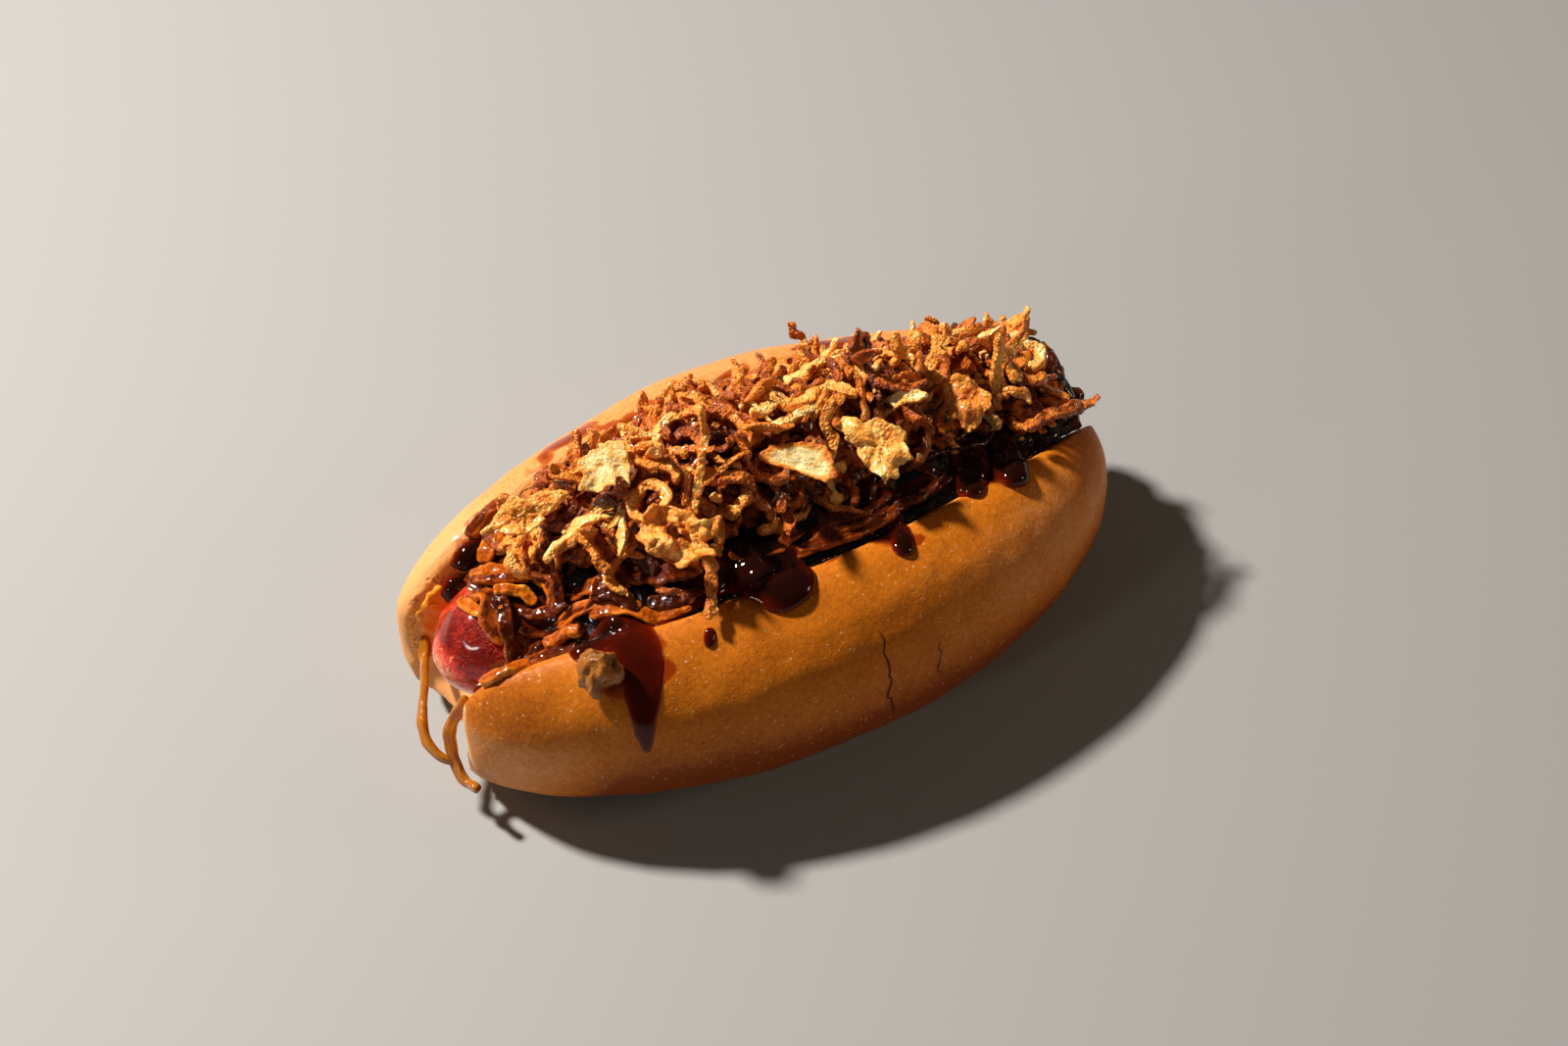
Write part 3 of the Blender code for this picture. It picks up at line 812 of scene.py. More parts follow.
def film_amount(spots):
    """How much sauce has soaked each place, from 0 to a little over 1, with wandering edges."""
    moves = np.array([noise.noise_vector(Vector(spot) / (8 * MM)) for spot in spots], np.float32)
    small = np.array([noise.noise_vector(Vector(spot) / (3 * MM)) for spot in spots], np.float32)
    wandered = spots + (moves + 0.4 * small) * FILM_WANDER
    amount = np.zeros(len(spots))
    for middle, reach, strength in FILMS:
        away = np.linalg.norm((wandered / MM - np.array(middle)) / np.array(reach), axis=1)
        amount = np.maximum(amount, strength * (1 - smooth_step(0.35, 1.25, away)))
    return amount


class HOTDOG_OT_roll(bpy.types.Operator):
    """Makes the baked roll with its soft cut inside"""

    bl_idname = "hotdog.roll"
    bl_label = "Roll"

    def execute(self, context):
        sizes = look("roll_look")
        roll = solid_copy("bun", "roll")
        modify(roll, "REMESH", mode="VOXEL", voxel_size=sizes.grain, use_smooth_shade=True)
        modify(roll, "SMOOTH", factor=0.5, iterations=12)
        self.mark_crust(roll)
        modify(roll, "SMOOTH", factor=0.5, iterations=60, vertex_group="crust")
        roll.vertex_groups.clear()
        roughen(roll, 16 * MM, sizes.waviness, 3.1)
        roughen(roll, 5 * MM, 0.35 * sizes.waviness, 8.3)
        spots, ways = places(roll), facings(roll)
        spots[:, 2] = np.maximum(spots[:, 2], 0)
        set_places(roll, spots)
        paint(roll, "crumb", cut_share(spots, ways, 0.45, 0.95) * self.cut_part(spots))
        rise = smooth_step(*CREST_BAKE, spots[:, 2])
        near = smooth_step(8 * MM, -8 * MM, spots[:, 1])
        ends = smooth_step(52 * MM, 74 * MM, np.abs(spots[:, 0] - 3 * MM))
        # Painted shade: the -Y wall is darkened low down, where it falls in shade.
        painted_shade_low_front = smooth_step(32 * MM, 8 * MM, spots[:, 2]) * near * smooth_step(-68 * MM, -42 * MM, spots[:, 0])
        # Painted light: the -Y wall is made paler towards its +X end, standing in for light falling there.
        painted_light_plus_end = smooth_step(8 * MM, 50 * MM, spots[:, 0]) * smooth_step(46 * MM, 36 * MM, spots[:, 2]) * near
        end_top = smooth_step(54 * MM, 68 * MM, spots[:, 0]) * smooth_step(26 * MM, 36 * MM, spots[:, 2]) * near
        tip_top = smooth_step(-48 * MM, -62 * MM, spots[:, 0]) * smooth_step(24 * MM, 32 * MM, spots[:, 2]) * near
        tip_end = smooth_step(-44 * MM, -60 * MM, spots[:, 0]) * near
        bake = 0.50 + 0.10 * rise * near + 0.80 * painted_shade_low_front - 0.18 * painted_light_plus_end + 0.28 * end_top + 0.36 * tip_top - 0.22 * tip_end
        far_tip = smooth_step(-40 * MM, -58 * MM, spots[:, 0])
        paint(roll, "bake", bake - (0.24 + 0.06 * ends + 0.26 * far_tip) * (1 - near))
        foot = 1 - smooth_step(0.6 * MM, FOOT_HEIGHT, spots[:, 2])
        paint(roll, "foot", np.maximum(foot, floury_edge(spots)))
        paint(roll, "stain", film_amount(spots))
        hand_over(roll, crust_finish(), "golden_crust", "bun")
        return {"FINISHED"}

    def cut_part(self, spots):
        """Fades the bare crumb out at the far end and towards the foot of the tip end."""
        low_tip = smooth_step(-56 * MM, -62 * MM, spots[:, 0]) * smooth_step(14 * MM, 7 * MM, spots[:, 2])
        return smooth_step(66 * MM, 54 * MM, spots[:, 0]) * (1 - low_tip)

    def mark_crust(self, roll):
        """Groups the points outside the cut, which are smoothed further than the rims."""
        spots = places(roll)
        shares = 1 - cut_share(spots, facings(roll), 0.15, 0.42)
        shares = np.maximum(shares, smooth_step(-46 * MM, -58 * MM, spots[:, 0]) * (spots[:, 2] > 14 * MM))
        group = roll.vertex_groups.new(name="crust")
        for index in np.nonzero(shares > 0.02)[0]:
            group.add([int(index)], float(shares[index]), "REPLACE")


def cut_share(spots, ways, low, high):
    """1 where the roll's surface faces into the cut, and 0 on the crust."""
    inward = np.where(spots[:, 1] < CUT_MIDDLE, 1.0, -1.0)
    return smooth_step(low, high, ways[:, 1] * inward) * (spots[:, 2] > 4 * MM)


# The torn floury edge at the -X end of the -Y wall, from the rim down to the foot, in millimetres.
FLOURY_EDGE = ((-71, -9, 30), (-71, -9, 20), (-71, -9, 12), (-70, -10, 7), (-66, -14, 6), (-60, -20, 6), (-53, -26, 5))
FLOURY_REACH = (0.4 * MM, 3.8 * MM)


def floury_edge(spots):
    line = np.array(Line.rounded([Vector(point) * MM for point in FLOURY_EDGE], 8))
    away = np.linalg.norm(spots[:, None, :] - line[None, :, :], axis=2).min(axis=1)
    return 0.72 * (1 - smooth_step(*FLOURY_REACH, away))


# ---- sausage


class HOTDOG_OT_sausage(bpy.types.Operator):
    """Makes the sausage, with a wrinkled domed end"""

    bl_idname = "hotdog.sausage"
    bl_label = "Sausage"

    def execute(self, context):
        low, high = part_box("sausage")
        radius, dome = (high.z - low.z) / 2, 14 * MM
        middle = (low + high) / 2
        deselect()
        bpy.ops.mesh.primitive_uv_sphere_add(segments=96, ring_count=80, radius=1)
        sausage = named(bpy.context.object, "sausage_link")
        spots = places(sausage)
        # The sphere's poles become the two ends, and its waist is drawn out along the roll.
        straight = (high.x - low.x) / 2 - dome
        ends = spots[:, 2] * dome + np.sign(spots[:, 2]) * straight
        laid = np.stack([middle.x + ends, middle.y + spots[:, 0] * radius, middle.z + spots[:, 1] * radius], 1)
        set_places(sausage, laid)
        edit_all(sausage)
        bpy.ops.mesh.normals_make_consistent(inside=False)
        bpy.ops.mesh.bisect(plane_co=(-30 * MM, 0, 0), plane_no=(1, 0, 0))
        edited("sausage_link")
        roughen(sausage, 7 * MM, 0.6 * MM, 2.2)
        roughen(sausage, 2.6 * MM, look("sausage_look").wrinkle, 5.2)
        spots = places(sausage)
        # Painted light: brighter towards the tip, towards the rear of the visible end and on the +Y side.
        painted_light_tip = smooth_step(-64 * MM, -69 * MM, spots[:, 0] + 0.3 * (spots[:, 2] - middle.z))
        rear = smooth_step(-61 * MM, -55 * MM, spots[:, 0]) * smooth_step(0, -20 * MM, spots[:, 0])
        paint(sausage, "lit", 0.20 + 0.52 * painted_light_tip + 0.34 * rear + 0.2 * smooth_step(8 * MM, 14 * MM, spots[:, 1]))
        hand_over(sausage, sausage_finish(), "sausage_skin", "sausage")
        return {"FINISHED"}


# ---- glazed onions

BED_LOWERED = 1.0 * MM
STRIP_COUNT = 92

# Strips laid one by one round the sausage's end and along the rim: plan points with a lift above what is under them,
# all in millimetres, then width, thickness and tone.
LAID_STRIPS = (
    (((-55.6, 12.0, 0.8), (-57.4, 8.0, 0.7), (-56.8, 4.0, 0.6), (-58.6, 0.4, 0.5), (-57.6, -3.4, 0.6)), 4.4, 1.6, 0.46),
    (((-57.0, 5.0, 0.7), (-55.4, 1.4, 0.9), (-56.6, -2.4, 0.8), (-57.2, -6.0, 0.8), (-59.4, -8.8, 0.8)), 3.4, 1.4, 0.30),
    (((-60.4, 9.6, 0.5), (-60.6, 6.6, 0.4), (-58.8, 3.4, 0.6), (-55.0, 1.6, 1.2)), 3.0, 1.2, 0.70),
    (((-57.5, 11.2, 2.0), (-54.0, 9.4, 1.8), (-50.5, 7.2, 1.8), (-47.5, 5.2, 1.6)), 2.8, 1.8, 0.66),
    (((-58.0, 9.2, 1.4), (-54.6, 7.4, 1.6), (-51.0, 5.4, 1.6), (-48.5, 3.4, 1.4)), 2.2, 1.4, 0.44),
    (((-55.5, 4.5, 1.2), (-52.5, 3.2, 1.8), (-50.5, 1.2, 1.6), (-49.5, -1.0, 1.0)), 2.8, 1.8, 0.70),
    (((-50.5, 5.0, 2.0), (-48.6, 3.4, 4.2), (-46.6, 0.4, 5.0), (-45.4, -2.6, 3.6), (-46.2, -5.4, 1.6)), 2.4, 1.4, 0.40),
    (((-47.5, 2.0, 1.2), (-46.6, -0.6, 3.0), (-47.0, -3.0, 3.0), (-48.6, -4.6, 1.2)), 2.0, 1.3, 0.58),
    (((-53.5, -1.0, 1.0), (-51.0, -3.0, 1.6), (-48.4, -4.4, 1.8), (-45.0, -5.6, 1.4)), 2.2, 1.3, 0.34),
    (((-54.5, -3.6, 1.0), (-51.6, -5.0, 1.4), (-48.4, -6.0, 1.6), (-44.6, -7.4, 1.2)), 2.4, 1.3, 0.20),
    (((-66.5, -6.6, 1.4), (-62.6, -6.6, 1.2), (-58.4, -6.8, 1.4), (-54.0, -7.2, 1.4), (-50.0, -7.6, 1.6)), 1.5, 1.2, 0.36),
    (((-67.5, -7.6, 1.6), (-63.5, -7.8, 1.6), (-59.5, -8.2, 1.8), (-55.5, -8.4, 2.0), (-51.8, -8.6, 2.2)), 1.5, 1.2, 0.24),
    (((-67.0, -8.8, 1.4), (-63.5, -9.2, 1.8), (-59.5, -9.6, 2.0), (-56.5, -9.6, 2.2), (-53.8, -9.8, 2.2)), 1.6, 1.2, 0.42),
    (((-66.0, -10.4, 1.0), (-62.8, -11.2, 1.4), (-59.4, -11.8, 1.4), (-56.6, -11.8, 1.0)), 2.6, 1.8, 0.66),
    (((-56.8, -10.4, 2.0), (-53.8, -10.6, 2.6), (-50.8, -11.0, 2.4), (-48.0, -12.6, 1.4)), 2.6, 1.6, 0.48),
    (((-55.0, -12.2, 1.2), (-52.0, -12.6, 1.8), (-49.4, -13.4, 1.8), (-47.4, -15.0, 1.2)), 2.2, 1.4, 0.26),
    (((-51.6, -8.4, 2.4), (-49.4, -9.6, 3.2), (-47.0, -10.6, 3.0), (-45.2, -12.4, 1.8)), 3.0, 2.2, 0.60),
    (((-52.8, 15.6, 2.0), (-51.0, 17.6, 3.2), (-48.6, 18.8, 3.2), (-46.8, 18.4, 2.0)), 4.6, 1.2, 0.60),
    (((-47.0, 8.8, 1.6), (-45.2, 9.6, 2.8), (-43.0, 10.6, 2.8), (-41.0, 11.4, 1.4)), 4.6, 1.2, 0.86),
    (((-53.0, 22.0, 0.8), (-50.0, 23.4, 1.0), (-46.5, 24.0, 1.0), (-42.5, 24.6, 0.8)), 3.2, 1.6, 0.46),
    (((-41.0, -9.0, 1.2), (-38.4, -11.0, 2.2), (-36.2, -13.4, 2.0), (-35.8, -16.0, 1.2)), 3.0, 1.4, 0.16),
    (((-34.0, -9.4, 1.6), (-30.0, -12.0, 2.2), (-25.6, -13.8, 2.0), (-20.4, -15.0, 1.4)), 4.4, 1.4, 0.30),
    (((-33.0, -15.6, 1.0), (-28.0, -17.6, 1.4), (-22.5, -18.2, 1.2), (-17.5, -18.6, 1.0)), 3.4, 1.2, 0.14),
    (((-2.0, -20.0, 1.0), (3.0, -20.6, 1.4), (9.0, -21.4, 1.4), (15.0, -21.2, 1.2), (20.5, -20.0, 1.0)), 2.4, 1.2, 0.42),
    (((2.0, -18.4, 1.0), (7.0, -19.6, 1.5), (12.5, -20.0, 1.5), (19.0, -19.0, 1.0)), 1.8, 1.2, 0.30),
    (((4.0, -16.4, 1.0), (9.0, -17.8, 1.6), (14.5, -18.0, 1.6), (21.0, -16.6, 1.0)), 2.2, 1.2, 0.22),
    (((20.0, -19.0, 1.0), (25.0, -19.2, 1.4), (30.0, -17.8, 1.4), (34.0, -15.6, 1.0)), 2.4, 1.2, 0.22),
    (((66.0, 2.0, 1.0), (69.0, 0.0, 2.4), (71.4, -3.0, 2.8), (72.4, -6.4, 1.2)), 3.8, 1.6, 0.06),
    (((61.0, 8.0, 1.2), (65.0, 6.4, 2.0), (69.0, 4.6, 1.6), (72.0, 3.0, 1.0)), 3.4, 1.6, 0.56),
    (((62.0, -10.0, 1.0), (66.0, -9.0, 1.4), (70.0, -7.4, 1.4), (73.0, -5.4, 0.8)), 2.8, 1.4, 0.40),
    (((64.0, 12.0, 0.8), (68.0, 11.4, 1.2), (71.0, 9.6, 1.2), (73.0, 7.0, 0.8)), 2.6, 1.4, 0.32),
    (((70.4, 10.0, 0.6), (72.4, 6.0, 0.9), (73.0, 1.6, 1.0), (72.6, -3.0, 0.9), (71.4, -7.0, 0.6)), 2.6, 1.5, 0.44),
    (((66.0, -3.0, 1.6), (69.4, -1.0, 2.4), (72.6, 2.0, 1.8), (73.6, 5.0, 0.8)), 2.4, 1.3, 0.26),
)


def draped_line(points, trees):
    """A line over plan points, each lifted off what lies under it."""
    spots = []
    for x, y, lift in points:
        hit, _ = highest(x * MM, y * MM, trees)
        spots.append(hit + UP * lift * MM)
    return spots


def lay_strip(name, points, width, thickness, tone, seed, trees, steps):
    spots = draped_line(points, trees)
    rand = random.Random(seed)
    ups = [Vector((rand.uniform(-0.5, 0.5), rand.uniform(-0.5, 0.5), 1)) for _ in spots]
    line = Line(spots, ups, steps=6)
    piece = strip(name, line, width * MM, thickness * MM, seed, ragged=0.2, point=3.6, cup=0.08, steps=steps)
    rumple(piece, 3.2 * MM, 0.5 * MM, seed)
    roughen(piece, 1.2 * MM, 0.26 * MM, seed + 1)
    paint(piece, "tone", np.full(len(piece.data.vertices), tone))
    return piece


def wandering_points(rand, start, length, trees):
    """Plan points of a strip that wanders along the bed from a start, staying on it."""
    x, y = start
    heading = rand.gauss(0, 0.5)
    points = []
    for _ in range(6):
        hit, _facing = highest(x, y, trees)
        if hit is None:
            break
        points.append((x / MM, y / MM, rand.uniform(0.1, 1.3)))
        heading += rand.gauss(0, 0.4)
        x += length / 5 * math.cos(heading)
        y += length / 5 * math.sin(heading)
    return points


class HOTDOG_OT_glazed_bed(bpy.types.Operator):
    """Makes the dark body of the glazed onions, a little lower than the strips that lie on it"""

    bl_idname = "hotdog.glazed_bed"
    bl_label = "Glazed onion bed"

    def execute(self, context):
        bed = solid_copy("caramelised_onions", "glazed_bed")
        modify(bed, "REMESH", mode="VOXEL", voxel_size=0.8 * MM, use_smooth_shade=True)
        modify(bed, "SMOOTH", factor=0.5, iterations=6)
        spots, ways = places(bed), facings(bed)
        spots[:, 2] -= BED_LOWERED * smooth_step(0.1, 0.6, ways[:, 2])
        set_places(bed, spots)
        for spot in spots:
            front = float(smooth_step(-46 * MM, -54 * MM, spot[0]))
            end = float(smooth_step(62 * MM, 70 * MM, spot[0]))
            spot[0] += (front + 0.6 * end) * 5 * MM * uneven((0, spot[1], spot[2]), 4.5 * MM, 2.6) - front * 1.0 * MM
        set_places(bed, spots)
        roughen(bed, 6 * MM, 1.2 * MM, 1.4)
        roughen(bed, 2.4 * MM, 0.7 * MM, 6.1)
        spots = places(bed)
        paint_grain(bed, np.stack([spots[:, 0] / MM, spots[:, 1] / MM, np.zeros(len(spots))], 1))
        front = smooth_step(-40 * MM, -52 * MM, spots[:, 0])
        end = smooth_step(60 * MM, 70 * MM, spots[:, 0])
        far_side = smooth_step(12 * MM, 20 * MM, spots[:, 1])
        paint(bed, "tone", 0.06 + 0.34 * front + 0.22 * end + 0.2 * far_side)
        hand_over(bed, glazed_finish("glazed_onion_bed"), "caramelised_onion", "caramelised_onions")
        return {"FINISHED"}


class HOTDOG_OT_glazed_strips(bpy.types.Operator):
    """Lays glazed onion strips over the bed and round the sausage's end"""

    bl_idname = "hotdog.glazed_strips"
    bl_label = "Glazed onion strips"

    def execute(self, context):
        sizes = look("glazed_look")
        rand = random.Random(11)
        trees = [tree_of(made(name)) for name in ("roll", "sausage_link", "glazed_bed")]
        bed_only = [tree_of(made("glazed_bed"))]
        laid, strips = [], []
        for number, (points, width, thickness, tone) in enumerate(LAID_STRIPS):
            laid.append(lay_strip(f"laid_{number}", points, width, thickness, tone, 40 + number, trees, 30))
        low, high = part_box("caramelised_onions")
        while len(strips) < STRIP_COUNT:
            start = (rand.uniform(low.x + 4 * MM, high.x - 8 * MM), rand.uniform(low.y, high.y))
            points = wandering_points(rand, start, rand.uniform(12, 26) * MM, bed_only)
            if len(points) < 4:
                continue
            near_tip = smooth_step(-38.0, -50.0, points[0][0])
            tone = min(max(rand.gauss(0.20 + 0.26 * near_tip, 0.14), 0), 0.9)
            width = sizes.width / MM * rand.uniform(0.6, 1.3)
            thickness = sizes.thickness / MM * rand.uniform(0.8, 1.2)
            strips.append(lay_strip("wandering", points, width, thickness, tone, rand.uniform(0, 90), bed_only, 24))
        finish = glazed_finish("glazed_onion_strip")
        hand_over(joined("glazed_strips", strips), finish, "caramelised_onion")
        hand_over(joined("laid_strips", laid), finish, "caramelised_onion")
        return {"FINISHED"}


# ---- crisp onions

CRISP_CREASE = 38

def swing(yaw=0, pitch=0, roll=0):
    return lambda u: (yaw, pitch, roll)


# Kinds of crisp shred: bends, then length, width and thickness in millimetres, ragged outline, blunt end, and cup.
SHREDS = {
    "curl": (swing(150, 130, 40), 15.0, 2.3, 0.9, 0.35, 3.5, 0.10),
    "open_curl": (swing(-120, 60, -60), 15.5, 2.5, 0.9, 0.40, 3.5, 0.12),
    "ess": (lambda u: (250 if u < 0.5 else -260, 20, 20), 17.0, 2.1, 1.2, 0.30, 4.5, 0.0),
    "hook": (lambda u: (30 if u < 0.45 else 330, 15, 30), 15.0, 2.0, 1.2, 0.30, 4.5, 0.0),
    "ring": (swing(325, 25, 0), 18.0, 2.1, 1.2, 0.35, 6.0, 0.0),
    "stick": (swing(18, 10, 30), 11.5, 1.9, 1.3, 0.25, 5.0, 0.0),
    "bent_stick": (swing(60, -25, 60), 13.0, 1.8, 1.3, 0.30, 5.0, 0.0),
    "chip": (swing(0, 55, 20), 8.0, 4.2, 0.8, 0.55, 2.6, 0.16),
    "curled_chip": (swing(25, 130, -30), 9.5, 3.6, 0.8, 0.55, 2.6, 0.12),
    "wavy": (lambda u: (90 * math.cos(9 * u), 240 * math.sin(12.6 * u), 40), 15.5, 2.4, 0.8, 0.45, 3.5, 0.10),
    "frizz": (lambda u: (260 * math.sin(9 * u), 160 * math.cos(7 * u), 80), 14.0, 2.0, 0.9, 0.50, 3.5, 0.10),
    "splinter": (swing(-25, 30, 40), 7.5, 1.5, 1.0, 0.40, 2.8, 0.0),
}

# How common each kind is, by group: one finished piece for each group.
GROUPS = {
    "crisp_curls": (("curl", 4), ("open_curl", 4), ("wavy", 3)),
    "crisp_hooks": (("ess", 5), ("hook", 6), ("ring", 2), ("frizz", 4)),
    "crisp_sticks": (("stick", 4), ("bent_stick", 6), ("splinter", 2)),
    "crisp_chips": (("chip", 2), ("curled_chip", 2)),
}

# Layers of the heap from the inside out: shape, depth under the solid's surface and share of the shreds, then
# spacing, lean in degrees, a shift in tone, and the smallest and largest size. The deeper layers' darker shift is
# partly sauce and partly painted shade between the shreds.
LAYERS = (
    ("plain", 4.4, 0.24, 2.8, 10, -0.26, 0.7, 1.1),
    ("plain", 3.0, 0.24, 2.8, 12, -0.12, 0.7, 1.1),
    ("plain", 1.8, 0.08, 3.0, 16, 0.0, 0.5, 0.8),
    ("fine", 0.9, 0.36, 3.7, 10, 0.03, 0.9, 1.3),
)
TOP_DEPTH = 2.0
FAR_RIM_DROP = 1.5
FLAKE_ROOM = 1.8 * MM
FAR_END_DROP = 1.7

# Shreds placed one by one: kind, plan place in millimetres, lift, heading, lean, roll in degrees, size and tone.
PLACED = (
    ("ess", (-22.4, 0.6), 0.8, 40, 0, 0, 1.0, 0.66),
    ("ring", (-26.0, -5.2), 1.2, 20, 12, -24, 1.05, 0.74),
    ("bent_stick", (-28.4, -14.6), 1.6, -100, -14, 0, 0.95, 0.44),
    ("open_curl", (-21.6, -8.6), 2.0, -18, 10, 0, 0.95, 0.62),
    ("curled_chip", (-16.4, -13.4), 2.0, 40, 24, 10, 0.7, 0.76),
    ("stick", (-14.6, -0.6), 1.2, -48, 8, 0, 1.0, 0.56),
    ("stick", (-10.6, 1.0), 1.6, 62, 24, 0, 0.85, 0.80),
    ("bent_stick", (-19.0, -4.6), 1.4, 52, 18, 0, 0.9, 0.50),
    ("stick", (-16.0, -5.8), 1.4, 44, 12, 0, 0.95, 0.84),
    ("stick", (-12.2, -6.0), 1.0, -2, 2, 0, 1.05, 0.60),
    ("curled_chip", (-6.0, -5.0), 1.2, 10, 0, 0, 1.1, 0.44),
    ("open_curl", (-3.0, -10.6), 2.2, 15, 10, -35, 1.45, 0.40),
    ("bent_stick", (-1.6, -13.8), 2.0, -28, -20, 0, 1.15, 0.62),
    ("open_curl", (23.0, 5.0), -0.8, 66, -8, -10, 1.25, 0.28),
    ("bent_stick", (20.6, 8.0), -0.6, 60, -8, 20, 1.15, 0.36),
    ("wavy", (27.0, 2.0), -0.4, 74, -8, 0, 1.05, 0.24),
    ("open_curl", (33.0, 3.0), 1.4, -50, 0, 0, 1.2, 0.72),
    ("curl", (36.0, -3.0), 1.2, 30, 0, 0, 1.1, 0.70),
    ("stick", (52.6, -5.6), 2.6, 62, 46, 0, 1.15, 0.80),
    ("hook", (55.6, -4.0), 1.4, 80, 34, 20, 1.05, 0.78),
    ("wavy", (58.4, -2.0), 2.4, 30, 20, 0, 1.0, 0.72),
    ("curled_chip", (30.0, -12.0), 1.0, -60, 0, -20, 1.3, 0.42),
    ("stick", (10.0, -15.2), 1.4, -52, -8, 0, 1.2, 0.44),
    ("frizz", (-36.0, -9.4), 1.6, 40, 14, 0, 1.0, 0.72),
    ("frizz", (-2.0, 24.0), 1.4, 10, 0, 0, 1.2, 0.66),
    ("frizz", (-12.0, 22.0), 1.2, 60, 0, 0, 1.2, 0.74),
    ("curl", (-8.0, 12.0), 1.6, -20, 20, 0, 1.0, 0.74),
    ("wavy", (44.0, 3.0), -0.2, 40, -6, 0, 1.0, 0.76),
)


def make_shred(kind, fine):
    """One shred of a kind, with its small lumps when it is to lie on top."""
    turns, length, width, thickness, ragged, point, cup = SHREDS[kind]
    line = curl_line(length * MM, turns)
    seed = 2.0 + 3.7 * list(SHREDS).index(kind)
    steps, rows, levels = (round(length * 1.25), 4, 1) if fine else (round(length / 1.1), 3, 0)
    piece = strip(kind, line, width * MM, thickness * MM, seed, ragged, point, cup, steps, rows, levels)
    rumple(piece, 2.6 * MM, 0.5 * MM, seed)
    roughen(piece, 1.3 * MM, 0.26 * MM, seed)
    if fine:
        roughen(piece, 0.6 * MM, 0.14 * MM, seed + 3)
    return piece


def make_crumb():
    deselect()
    bpy.ops.mesh.primitive_ico_sphere_add(subdivisions=2, radius=0.75 * MM)
    crumb = named(bpy.context.object, "crumb")
    roughen(crumb, 0.7 * MM, 0.55 * MM, 4.4)
    paint_grain(crumb, places(crumb) / MM)
    paint(crumb, "edge", np.zeros(len(crumb.data.vertices)))
    return crumb


def set_shred(template, name, place, facing, turn, lean, roll, size, tone, seed):
    """Copies a shred to its place, lying on a facing and turned, leaned and rolled by degrees."""
    piece = twin(template, name)
    basis = UP.rotation_difference(facing).to_matrix().to_4x4()
    angles = [math.radians(angle) for angle in (turn, -lean, roll)]
    turned = Matrix.Rotation(angles[0], 4, "Z") @ Matrix.Rotation(angles[1], 4, "Y") @ Matrix.Rotation(angles[2], 4, "X")
    piece.data.transform(Matrix.Translation(place) @ basis @ turned @ Matrix.Scale(size, 4))
    rumple(piece, 5 * MM, 1.1 * MM, seed)
    paint(piece, "tone", np.full(len(piece.data.vertices), tone))
    return piece


def spread_spots(node, count, spacing, rand, lowest_facing):
    """Evenly spread places on a solid's upper surface, with the facing at each."""
    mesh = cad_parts[node].data
    faces = [(f, f.area) for f in mesh.polygons if f.normal.z > lowest_facing]
    weights = [area for _, area in faces]
    spots = []
    for _ in range(count * 30):
        if len(spots) == count:
            break
        face = rand.choices(faces, weights)[0][0]
        a, b, c = (mesh.vertices[i].co for i in face.vertices)
        r, s = math.sqrt(rand.random()), rand.random()
        spot = a * (1 - r) + b * r * (1 - s) + c * r * s
        if all((spot - other).length > spacing for other, _ in spots):
            spots.append((spot, face.normal.copy()))
    return spots


def flake_spots():
    """The middle of each loose flake, which the scattered shreds leave clear."""
    names = [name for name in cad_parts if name.startswith("flake_")]
    return [((low + high) / 2, (high - low).xy.length / 2) for low, high in map(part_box, names)]


def pick_tone(rand):
    """Mostly golden, with some brown and some pale."""
    roll = rand.random()
    if roll < 0.24:
        return rand.uniform(0.26, 0.44)
    if roll < 0.76:
        return rand.gauss(0.58, 0.07)
    return rand.uniform(0.70, 0.92)


class HOTDOG_OT_crisp_core(bpy.types.Operator):
    """Makes the smaller body inside the heap of crisp onions"""

    bl_idname = "hotdog.crisp_core"
    bl_label = "Heap core"

    def execute(self, context):
        core = solid_copy("crispy_onions", "crisp_core")
        modify(core, "REMESH", mode="VOXEL", voxel_size=0.8 * MM, use_smooth_shade=True)
        bed = [tree_of(made("glazed_bed"))]
        spots = places(core)
        for spot in spots:
            under, _ = highest(float(spot[0]), float(spot[1]), bed)
            if under:
                share = 0.68 - 0.34 * float(smooth_step(4 * MM, 14 * MM, spot[1]))
                spot[2] = under.z + (spot[2] - under.z) * share
        set_places(core, spots)
        roughen(core, 3.4 * MM, 2.2 * MM, 3.3)
        roughen(core, 1.6 * MM, 0.9 * MM, 7.7)
        hand_over(core, core_finish(), "crisp_onion", "crispy_onions")
        return {"FINISHED"}


